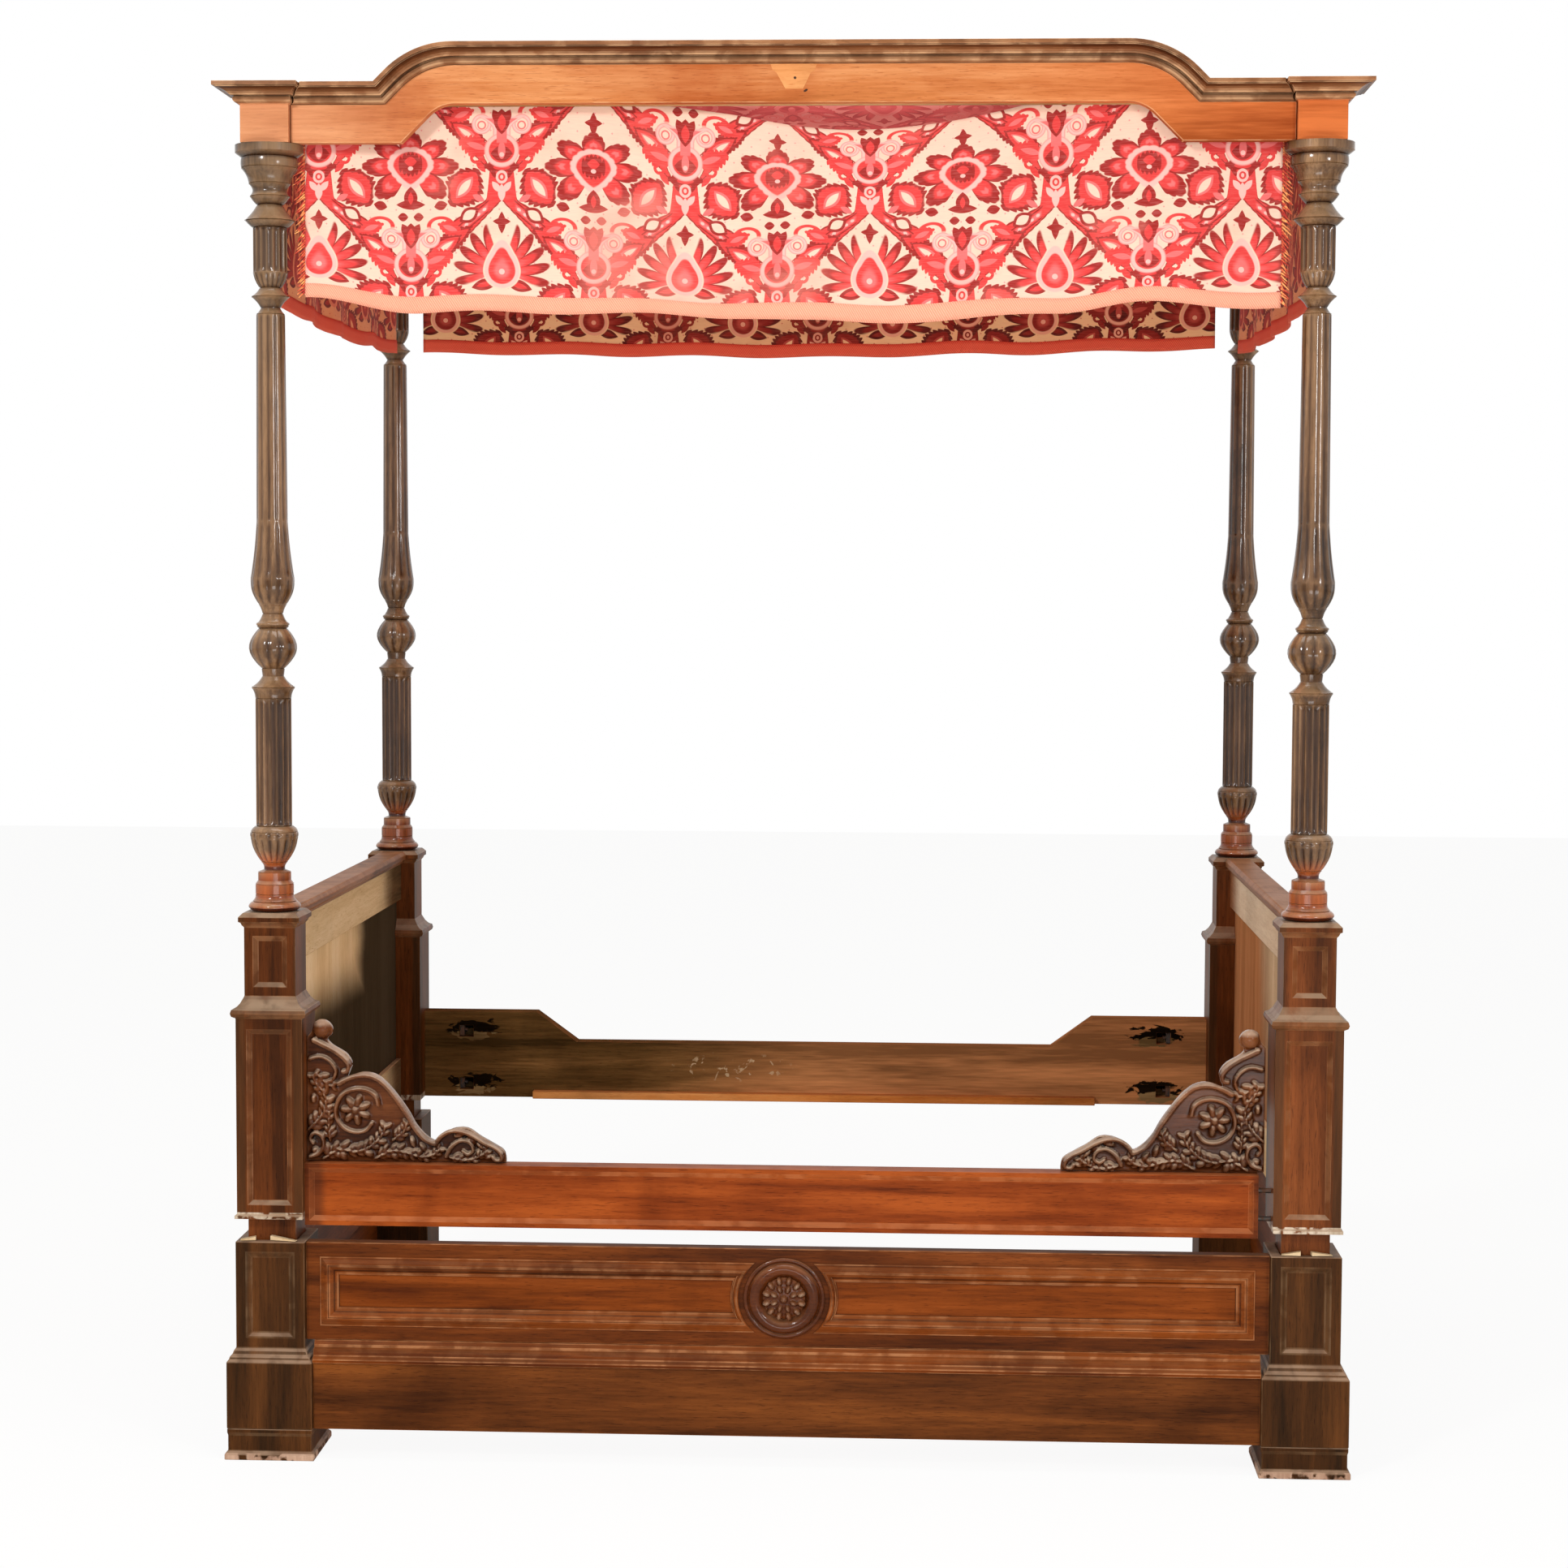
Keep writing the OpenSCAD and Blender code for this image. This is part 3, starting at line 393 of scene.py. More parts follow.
def ragged(drop, wide, high, reach):
    """The bolt pockets of the rear rail were cut out roughly, and their rims have splintered."""
    def zone(spot):
        both_ends = spot._replace(x=abs(spot.x))
        splinters = spot.paint.noise(spot.paint.stretched(spot.whole, (0.4, 1, 1)), 60.0, 5.0, 1.2)
        found = 0.0
        for height in (0.497, 0.628):
            near = oval_round(both_ends, 0.806, height - drop, wide, high) + (splinters - 0.5) * 2.6
            found = near.maths("MAXIMUM", near.under(reach, reach + 0.15), found)
        return found * faces_front(spot)
    return zone


def scraped(spot):
    """Pale scrapes near the middle of the rear rail."""
    flecks = spot.paint.noise(spot.whole, 34.0, 4.0, 1.5).over(0.60, 0.66)
    return oval_round(spot, -0.19, 0.545, 0.17, 0.04).under(0.5, 1.0) * flecks * faces_front(spot) * 0.7


def along_bed(axis, start, full, most):
    """A zone that grows along X or Y from one place to another."""
    return lambda spot: (getattr(spot, axis) + (spot.patches - 0.5) * 0.2).over(start, full) * most


def worn_lip(low, high):
    """A thin lip between two heights, bumped and scuffed pale in places."""
    def zone(spot):
        chips = spot.paint.noise(spot.whole, 38.0, 3.0, 0.5).over(0.40, 0.52)
        return spot.z.over(low - 0.001, low) * spot.z.under(high, high + 0.001) * chips * 0.85
    return zone


def rail_ends(spot):
    """Wax and dirt have gathered at the two ends of the front rail."""
    return (abs(spot.x) + (spot.patches - 0.5) * 0.03).over(0.880, 0.900) * 0.8


# Tones for the outer faces of the ends, which carry no painted light
plain_outside = (outside, (64, 30, 11), (110, 56, 24))
plain_panel_outside = (outside, (72, 33, 12), (120, 62, 26))
apron_tones = (60, 27, 8), (98, 47, 15), (128, 66, 25)
apron_look = dict(ledge_dust_and_light=(122, 78, 48), ledge_dust_and_light_share=0.3, blotched=0.3, wear_and_light=(178, 122, 82), wear_and_light_share=0.6)
frieze_look = dict(gloss=0.45, blotch=(206, 150, 110), blotched=0.6)
# Each timber is a dark, a middle and a light tone, and what differs from the plain recipe
recipes = {
    "plinth_block_wood": [(40, 24, 10), (66, 38, 16), (92, 54, 24), dict(
        grain="Z", wear_and_light_share=0.25, wear_and_light=(140, 110, 80), ledge_dust_and_light=(160, 130, 106), ledge_dust_and_light_share=0.7, figure=0.9, blotched=0.3,
        zones=[(worn_lip(0.0, 0.013), (150, 112, 90), (204, 170, 146))])],
    "plinth_board_wood": [(58, 28, 8), (96, 50, 18), (124, 68, 26), dict(figure=0.8, ledge_dust_and_light=(140, 90, 54))],
    "apron_wood": [*apron_tones, apron_look],
    "end_apron_wood": [*apron_tones, dict(apron_look, grain="Y")],
    "apron_panel_wood": [(76, 31, 6), (118, 55, 13), (144, 71, 23), dict(
        figure=1.3, blotched=0.25, wear_and_light=(180, 124, 82), wear_and_light_share=0.65, ledge_dust_and_light=(140, 88, 52), ledge_dust_and_light_share=0.25)],
    # On the carving and the rosette, the pale edge and top colours are mostly painted glints and painted top light.
    "carved_wood": [(54, 25, 10), (86, 43, 18), (114, 64, 33), dict(
        gloss=0.05, shine=0.11, wear_and_light=(168, 128, 98), wear_and_light_share=0.55, ledge_dust_and_light=(204, 176, 150), ledge_dust_and_light_share=0.6)],
    "rosette_wood": [(48, 20, 6), (82, 38, 13), (110, 56, 23), dict(
        gloss=0.05, shine=0.18, wear_and_light=(214, 190, 160), wear_and_light_share=0.6, ledge_dust_and_light=(160, 110, 76), ledge_dust_and_light_share=0.35)],
    "post_block_wood": [(58, 28, 9), (95, 48, 18), (125, 66, 29), dict(
        grain="Z", wear_and_light_share=0.4, wear_and_light=(172, 122, 84), ledge_dust_and_light=(158, 134, 110), ledge_dust_and_light_share=0.7, gloss=0.26, shine=0.06,
        blotched=0.3, zones=[(stiles, (46, 27, 12), (84, 50, 25)),
                             (worn_lip(0.4655, 0.478), (150, 128, 104), (214, 198, 176))])],
    "turned_wood": [(42, 27, 13), (96, 66, 40), (150, 114, 80), dict(
        grain="Z", gloss=0.07, shine=0.38, ledge_dust_and_light=(170, 136, 102), ledge_dust_and_light_share=0.4, wear_and_light=(160, 122, 88), wear_and_light_share=0.5,
        zones=[(bleached, (54, 38, 24), (126, 97, 69)), (below(1.150, 0.030), (84, 34, 10), (168, 86, 42))])],
    "front_rail_wood": [(78, 28, 6), (128, 55, 15), (156, 74, 25), dict(
        figure=1.4, wear_and_light=(196, 122, 76), blotch=(120, 70, 44), ledge_dust_and_light=(186, 116, 74), ledge_dust_and_light_share=0.4,
        zones=[(rail_ends, (52, 24, 10), (92, 44, 20))])],
    "rear_rail_wood": [(62, 43, 20), (104, 73, 38), (150, 106, 62), dict(
        figure=0.8, blotched=0.3, shine=0.0,
        zones=[(along_bed("x", -0.45, 0.15, 0.9), (140, 92, 56), (226, 152, 96)),
               # The near-black inside the bolt pockets is painted shade in the openings; the paler rims are
               # splintered wood.
               (ragged(-0.004, 0.055, 0.020, 0.9), (12, 8, 5), (36, 24, 12)),
               (ragged(0.014, 0.050, 0.013, 0.75), (96, 74, 44), (168, 136, 92)),
               (scraped, (190, 160, 120), (220, 196, 160))])],
    # The pale tones of the right end stand for painted light reflected on its inner face, with painted shade behind
    # and low down.
    "right_panel_wood": [(190, 156, 118), (218, 188, 150), (236, 212, 178), dict(
        grain="Z", figure=0.4, blotched=0.15, shine=0.0,
        zones=[(shade_behind, (120, 66, 32), (188, 122, 74)), plain_panel_outside])],
    # The right top rail is painted pale as reflected light, and darker at the far back as painted shade.
    "right_rail_wood": [(204, 170, 132), (226, 198, 162), (240, 218, 188), dict(
        grain="Y", figure=0.4, blotched=0.15, shine=0.03,
        zones=[(along_bed("y", 0.35, 0.6, 0.92), (104, 54, 24), (158, 98, 56)), plain_outside])],
    "capping_wood": [(84, 46, 22), (124, 76, 42), (158, 106, 66), dict(
        grain="Y", ledge_dust_and_light=(190, 140, 100), ledge_dust_and_light_share=0.5)],
    "bearer_wood": [(176, 96, 38), (206, 126, 60), (226, 156, 90), dict(gloss=0.6)],
    # The pale tones of the left end stand for painted light reflected on its inner face; the zones give painted shade
    # behind and low down.
    "end_panel_wood": [(214, 174, 124), (234, 198, 148), (246, 216, 172), dict(
        grain="Z", figure=0.3, blotched=0.1, shine=0.0,
        zones=[(shade_inside, (15, 10, 5), (42, 27, 14)), plain_panel_outside])],
    # The left top rail is painted pale as reflected light, and darker towards the back as painted shade.
    "end_rail_wood": [(200, 164, 118), (222, 190, 144), (238, 210, 168), dict(
        grain="Y", figure=0.4, blotched=0.15, shine=0.0, ledge_dust_and_light=(206, 168, 128), ledge_dust_and_light_share=0.6,
        zones=[(along_bed("y", 0.30, 0.55, 0.92), (44, 26, 10), (96, 60, 30)), plain_outside])],
    "lath_wood": [(150, 108, 66), (180, 136, 90), (206, 166, 120), dict(gloss=0.7)],
    "tester_wood": [(164, 92, 44), (196, 118, 66), (218, 150, 98), dict(
        frieze_look, wear_and_light=(232, 182, 134), ledge_dust_and_light=(238, 190, 146),
        zones=[(along_bed("x", 0.2, 0.95, 0.95), (146, 64, 24), (208, 110, 56)),
               (along_bed("x", -0.55, -1.0, 0.6), (192, 130, 92), (214, 152, 114))])],
    "side_frieze_wood": [(156, 88, 42), (188, 114, 64), (212, 146, 96), dict(
        frieze_look, grain="Y", wear_and_light=(240, 196, 150))],
    "cornice_wood": [(76, 42, 20), (120, 72, 40), (160, 104, 66), dict(
        wear_and_light=(224, 178, 134), wear_and_light_share=0.8, gloss=0.24, shine=0.1, blotch=(168, 96, 58), blotched=0.5,
        ledge_dust_and_light=(206, 156, 114))],
    "sliver_wood": [(176, 140, 96), (206, 176, 134), (228, 206, 172), dict(gloss=0.8, wear_and_light_share=0.0, ledge_dust_and_light_share=0.0)],
    "bare_wood": [(206, 132, 76), (226, 156, 98), (236, 172, 118), dict(
        gloss=0.75, wear_and_light_share=0.0, blotched=0.3, ledge_dust_and_light_share=0.0)],
}
timber = {name: wood(name, *tones, **look) for name, (*tones, look) in recipes.items()}

# %% [markdown]
# ## Iron
# The bed bolts, their nuts and the pins under the tester are old wrought iron. Only small
# ends of it show, dull and brown with old rust.

# %% Iron
iron_paint = Paint("old_iron")
iron_rust = iron_paint.noise(iron_paint.node("TexCoord", out="Object"), 90.0, 5.0, 0.3).over(0.42, 0.62)
iron_paint.finish(
    Base_Color=iron_paint.blend(iron_rust, (74, 68, 64), (96, 62, 42)),
    Roughness=0.45 + iron_rust * 0.35, Metallic=0.9 - iron_rust * 0.7,
    Normal=iron_paint.bump(0.4, 0.0004, iron_rust))

# %% [markdown]
# ## Putting a piece on the bed
# Every new piece is a mesh whose points already lie in place, on an object at the origin.
# It rides on a body of the frame, names the solid that it stands for and the finish that
# it takes. A small number on each piece shifts its grain.

# %% Piece and softened copy
body_of_node = {n: body for body, nodes in record["behaviour"]["bodies"].items() for n in nodes}
slot_of_node = {part["node"]: part["material_slot"] for part in record["subparts"]}
board_count, grain_shift = 0, 0.37


def piece(name, bm, body, slot, stands_for=(), material=None, smooth=False):
    """Makes a bmesh an object that rides on a body of the frame."""
    global board_count
    board_count += 1
    board = bm.faces.layers.float.get("board") or bm.faces.layers.float.new("board")
    for face in bm.faces:
        face[board] = board_count * grain_shift
        if smooth:
            face.smooth = True
    made = add_object(name, bm)
    made.data.materials.append(material or timber[slot])
    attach(made, body)
    if stands_for:
        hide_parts(*stands_for)
    return made


def joined_copy(node):
    """A copy of a solid's mesh as a bmesh, with its loose triangles joined into whole faces."""
    bm = bmesh.new()
    bm.from_mesh(frame["nodes"][node].data)
    bmesh.ops.remove_doubles(bm, verts=bm.verts, dist=1e-5)
    bmesh.ops.dissolve_limit(bm, angle_limit=radians(1), verts=bm.verts, edges=bm.edges)
    return bm


def soften(bm, width, sharper_than=22, slope_light=0.0):
    """Rounds the sharp edges of a bmesh and marks them pale for scuffing and painted highlights, and marks sloping
    faces a little for painted light, those that face down more strongly for a painted reflection of the floor.
    """
    mark = bm.faces.layers.float.get("edge") or bm.faces.layers.float.new("edge")
    # Sloping faces are painted lighter: those that face down get a painted reflection of the floor.
    if slope_light:
        bm.normal_update()
        for face in bm.faces:
            if max(abs(n) for n in face.normal) < 0.97:
                face[mark] = slope_light if face.normal.z > -0.4 else 0.9
    sharp = [edge for edge in bm.edges
             if len(edge.link_faces) == 2 and edge.calc_face_angle() > radians(sharper_than)]
    rounded = bmesh.ops.bevel(bm, geom=sharp, offset=width, offset_type="OFFSET", segments=2, profile=0.5,
                              affect="EDGES", clamp_overlap=True, material=-1)
    for face in rounded["faces"]:
        face[mark] = 1
        face.smooth = True


def softened(node, width, material=None, slope_light=0.0):
    """A piece that is the solid itself with its edges softened."""
    bm = joined_copy(node)
    soften(bm, width, slope_light=slope_light)
    piece(node + "_dressed", bm, body_of_node[node], slot_of_node[node], [node], material)


def raised(bm, face, first=False):
    """Extrudes a face. The old face stays behind, so past the first step it is taken away."""
    grown = bmesh.ops.extrude_face_region(bm, geom=[face])
    if not first:
        bmesh.ops.delete(bm, geom=[face], context="FACES_ONLY")
    return next(g for g in grown["geom"] if isinstance(g, bmesh.types.BMFace))


def mark_layers(element):
    """The two layers that the wood recipe reads: pale edges, which are scuffing with painted highlights, and old wax
    with painted shade in hollows.
    """
    return element.layers.float.new("edge"), element.layers.float.new("hollow")


# %% [markdown]
# ## The joinery
# Feet, blocks, boards, rails and mouldings were planed and scraped by hand, and no edge of
# them is sharp. A bevel of about two millimetres on a copy of each solid catches the light
# as the real edge does. The panels, friezes and cappings need nothing else.

# %% Soften the joinery
for side in ("front_left", "front_right", "rear_left", "rear_right"):
    softened(side + "_foot", 0.0025)
    softened(side + "_plinth_block", 0.002, slope_light=0.5)
    softened(side + "_post_block", 0.002, slope_light=0.5)
plain_joinery = [
    "front_plinth_board", "front_apron_moulding", "front_apron_frame", "left_end_apron", "right_end_apron",
    "end_apron_mouldings", "front_rail", "rear_rail", "slat_bearers", "left_bottom_rail", "right_bottom_rail",
    "left_end_panel", "right_end_panel", "left_top_rail", "right_top_rail", "left_capping", "right_capping",
    "rear_frieze", "left_frieze", "right_frieze", "tester_laths", "rear_cornice", "left_cornice", "right_cornice",
]
own_finish = {"front_plinth_board": "plinth_board_wood", "end_apron_mouldings": "end_apron_wood",
              "right_end_panel": "right_panel_wood", "right_top_rail": "right_rail_wood",
              "rear_cornice": "cornice_wood"}
for side in ("left", "right"):
    own_finish.update({side + "_end_apron": "end_apron_wood", side + "_frieze": "side_frieze_wood",
                       side + "_capping": "capping_wood", side + "_cornice": "cornice_wood"})
for node in plain_joinery:
    softened(node, 0.0016, timber.get(own_finish.get(node)), slope_light=0.1 if "moulding" in node else 0.3)
for node in ("bed_bolts", "bed_bolt_nuts", "tester_pins"):
    frame["nodes"][node].data.materials.clear()
    frame["nodes"][node].data.materials.append(iron_paint.material)
print("softened boards:", board_count)

# %% [markdown]
# ## The apron panels
# Two long sunk panels lie on either side of a roundel. A joiner planes the moulding round
# them as separate strips, mitres them at the corners and bends them round the roundel.
# Extruding one face again and again, and drawing it in along the same outline each time,
# makes moulding and panel as one mesh, and the mitres follow from the outline.

# %% Apron panels with their mouldings
apron_face, rosette_z, roundel_radius = 0.723, 0.325, 0.088
# The strips lap over the frame round the panels, and start behind its face
moulding_lap, moulding_depth = 0.023, 0.012
panel_low, panel_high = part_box("front_apron_panels")
# Each step is a width inwards and a rise towards the room, in millimetres
mould_steps = [(0, 12.0), (0.5, 2.0), (2.0, 0.4), (0.5, -1.4), (3.0, 1.0), (3.0, 1.8), (3.0, 1.6), (2.6, 0.8),
               (1.4, -0.1), (0.7, -2.4), (3.4, -0.4), (3.0, -1.2), (3.0, -2.0), (3.0, -2.6), (2.6, -2.0), (1.8, 0.2),
               (0.4, 1.0), (1.8, 0.0), (1.0, -3.4)]


def panel_outline(drawn_in):
    """The outline of the right-hand panel round its roundel, drawn in by a distance."""
    reach = panel_high[0] + moulding_lap - drawn_in
    tall = (panel_high[2] - panel_low[2]) / 2 + moulding_lap - drawn_in
    radius = roundel_radius + max(0, drawn_in - 0.011) * 0.6
    turn = atan2(tall, sqrt(radius ** 2 - tall ** 2))
    round_end = [(radius * cos(turn * (1 - k / 8)), radius * sin(turn * (1 - k / 8))) for k in range(17)]
    return [(reach, -tall), (reach, tall)] + round_end


bm = bmesh.new()
wear_and_light, wax_and_shade = mark_layers(bm.faces)
number = bm.verts.layers.int.new("number")
for side in (-1, 1):
    corners = []
    for k, (x, z) in enumerate(panel_outline(0)):
        corners.append(bm.verts.new((side * x, -apron_face + moulding_depth, rosette_z + z)))
        corners[-1][number] = k
    front = bm.faces.new(corners)
    drawn_in, level = 0, -apron_face + moulding_depth
    for step, (wide, rise) in enumerate(mould_steps):
        front = raised(bm, front, first=step == 0)
        drawn_in, level = drawn_in + wide / 1000, level - rise / 1000
        outline = panel_outline(drawn_in)
        for vert in front.verts:
            x, z = outline[vert[number]]
            vert.co = (side * x, level, rosette_z + z)
        # Flat steps are painted pale as painted highlights with some scuffing, and steps that go back steeply are
        # darkened as painted shade with some wax.
        for face in {f for edge in front.edges for f in edge.link_faces} - {front}:
            face[wear_and_light] = 0.75 if abs(rise) < 0.55 else 0.15
            face[wax_and_shade] = 0.8 if rise < -2.1 else 0.0
bmesh.ops.holes_fill(bm, edges=bm.edges, sides=0)
bmesh.ops.recalc_face_normals(bm, faces=bm.faces)
piece("front_apron_panels_dressed", bm, "plinth", "apron_panel_wood", ["front_apron_panels"])

# %% [markdown]
# The rosette is a turned ring with a small carved flower in it: twelve outer leaf tips,
# eight inner petals and a knob. Petals overlap and melt into each other, which a voxel
# remesh of simple overlapping lumps gives at once, as a gouge would leave them.

# %% Lumps, strokes and carving


def lump(bm, place, size, turn=0.0, detail=2):
    """A ball drawn to a length, a width and a height, turned in the plane of the carving."""
    length, width, height = size
    matrix = Matrix.Translation(place) @ Matrix.Rotation(-turn, 4, "Y") @ Matrix.Diagonal((length, height, width, 1))
    bmesh.ops.create_icosphere(bm, subdivisions=detail, radius=1, matrix=matrix)


def ridges_and_hollows(bm, reach):
    """Marks ridges to be painted pale, as scuffing and painted highlights, and hollows to be darkened, as old wax and
    painted shade, by how far points lie behind their neighbours.
    """
    bm.normal_update()
    bm.verts.index_update()
    near = [[edge.other_vert(vert).index for edge in vert.link_edges] for vert in bm.verts]
    place = [vert.co.copy() for vert in bm.verts]
    level = []
    for vert, others in zip(bm.verts, near):
        middle = sum((place[i] for i in others), Vector()) / len(others)
        level.append((middle - vert.co).dot(vert.normal) / reach)
    for _ in range(2):
        level = [0.4 * here + 0.6 * sum(level[i] for i in others) / len(others)
                 for here, others in zip(level, near)]
    wear_and_light, wax_and_shade = mark_layers(bm.verts)
    for vert, value in zip(bm.verts, level):
        vert[wear_and_light] = min(1, max(0, -value - 0.1))
        vert[wax_and_shade] = min(1, max(0, value))


def carved(name, bm, voxel, body, slot, stands_for, rounds=2, material=None):
    """Fuses overlapping lumps into one carved surface and smooths the tool marks."""
    rough = add_object(name + "_lumps", bm)
    data = rough.data
    fused = rough.modifiers.new("fused", "REMESH")
    fused.mode = "VOXEL"
    fused.voxel_size = voxel
    whole = bpy.data.meshes.new_from_object(rough.evaluated_get(bpy.context.evaluated_depsgraph_get()))
    bm = bmesh.new()
    bm.from_mesh(whole)
    for _ in range(rounds):
        bmesh.ops.smooth_vert(bm, verts=bm.verts, factor=0.5, use_axis_x=True, use_axis_y=True, use_axis_z=True)
    bpy.data.objects.remove(rough)
    bpy.data.meshes.remove(data)
    bpy.data.meshes.remove(whole)
    print(name, "faces:", len(bm.faces))
    ridges_and_hollows(bm, voxel * 0.16)
    piece(name, bm, body, slot, stands_for, material, smooth=True)


# %% Rosette
bm = bmesh.new()
ring_profile = [(40, 1), (43, 2), (44, 6), (49, 11.5), (56, 14), (62, 13), (66, 9.5), (68, 6), (68.6, 2.5), (70, 2.4),
                (70.6, 4.5), (74, 5.6), (77, 4.6), (78, 3), (78, 0), (40, 0)]
corners = [bm.verts.new((r / 1000, -depth / 1000, 0)) for r, depth in ring_profile]
rims = [bm.edges.new((a, b)) for a, b in zip(corners, corners[1:] + corners[:1])]
bmesh.ops.spin(bm, geom=corners + rims, cent=(0, 0, 0), axis=(0, 1, 0), angle=2 * pi, steps=72, use_merge=True)
bmesh.ops.remove_doubles(bm, verts=bm.verts, dist=1e-6)
bmesh.ops.translate(bm, verts=bm.verts, vec=(0, -apron_face, rosette_z))
bmesh.ops.recalc_face_normals(bm, faces=bm.faces)
piece("rosette_ring_dressed", bm, "plinth", "carved_wood", ["rosette_ring"], timber["rosette_wood"], smooth=True)

bm = bmesh.new()
lump(bm, (0, -apron_face, rosette_z), (0.041, 0.041, 0.009), detail=3)
for count, reach, size in ((12, 0.0345, (0.0088, 0.0060, 0.0150)), (8, 0.0200, (0.0080, 0.0052, 0.0190))):
    for k in range(count):
        angle = 2 * pi * (k + 0.5) / count
        place = (reach * cos(angle), -apron_face - 0.002, rosette_z + reach * sin(angle))
        lump(bm, place, size, angle)
lump(bm, (0, -apron_face, rosette_z), (0.0085, 0.0085, 0.0235))
carved("rosette_boss_dressed", bm, 0.0011, "plinth", "carved_wood", ["rosette_boss"], 1, timber["rosette_wood"])

# %% [markdown]
# ## The turned posts
# A turner cuts a profile with the lathe, and then the carver works round it: sixteen
# gadroons on the cup, sixteen flutes on both drums, and shallow facets on the ball, bulb
# and shaft. The profile is spun round the axis, and each ring of points is then drawn in
# by a wave round the post. Wherever the wave is zero, the turning stays round.

# %% Profile of a post
turning = [
    [19, 42, 42, 8], [14, 42, 36.5, -2], [19, 36.5, 36.5, 0], [8, 36.5, 31.5, 0],
    [15, 31.5, 31.5, 0], [6, 31.5, 20, 0], [14, 20, 25.5, -2], [47, 25.5, 45, 4],
    [11, 45, 45, 1], [12, 45, 34.5, 2], [245, 34.5, 34.5, 0],
    [21, 34.5, 41.5, -2], [22, 41.5, 20.5, -3], [14, 20.5, 22, 0],
    [77, 22, 27.5, 21], [5, 27.5, 30.5, 0], [6, 30.5, 30.5, 1], [17, 28, 19.5, -1],
    [18, 19.5, 26.5, -1], [49, 26.5, 41.5, 5], [109, 41.5, 29.5, -1.5],
    [393, 29.5, 27, 0], [12, 27, 18.5, -1], [21, 18.5, 36, -2],
    [17, 36, 20.5, -2], [28, 20.5, 32.5, 2], [85, 32.5, 32.5, 0],
    [13, 32.5, 46, 1], [30, 48, 24.5, -2], [16, 24.5, 37.5, 1], [24, 37.5, 39.5, -6],
    [29, 39.5, 53.5, -3], [19, 53.5, 53.5, 1], [10, 53.5, 65, 0], [14, 65, 65, 0],
]
turned_foot = 1.056
# Which rows are worked round the post: the number of waves, their depth in mm and their form
worked_rows = {
    7: (16, 3.4, "lobe"), 8: (16, 2.2, "lobe"), 10: (16, 3.6, "flute"), 14: (12, 1.6, "lobe"),
    19: (12, 1.5, "lobe"), 20: (12, 1.8, "lobe"), 21: (12, 1.3, "lobe"), 25: (16, 1.6, "lobe"),
    26: (16, 3.2, "flute"),
}
# Rows that begin with a fine groove, where the turner has let the point of the chisel in
grooved_rows = {1, 2, 3, 5, 7, 9, 10, 11, 12, 14, 15, 16, 18, 22, 24, 25, 27, 28, 29, 30, 31, 32, 33}


def row_rings(row):
    """Radii and heights of the rings of one row of the turning, with extra rings near its ends."""
    length, low, high, bulge = row
    shares = [k / 10 for k in range(11)] if bulge else [0, 1]
    if not bulge and length > 60:
        ends = [share * 10 / length for share in (0.15, 0.4, 0.7, 1, 1.4)]
        shares = [0] + ends + [0.25, 0.5, 0.75] + [1 - e for e in reversed(ends)] + [1]
    return [(low + (high - low) * s + bulge * sin(pi * s), min(max(length * s, 0.8), length - 0.8), s)
            for s in shares]


def sink(rings, place):
    """How far the profile lies behind its surroundings, 7 mm up and down, as a share."""
    def radius(height):
        for (a, low), (b, high) in zip(rings, rings[1:]):
            if a <= height <= b:
                return low + (high - low) * (height - a) / max(b - a, 1e-6)
        return rings[-1][1]
    height, here = rings[place]
    return ((radius(height - 7) + radius(height + 7)) / 2 - here) / 5


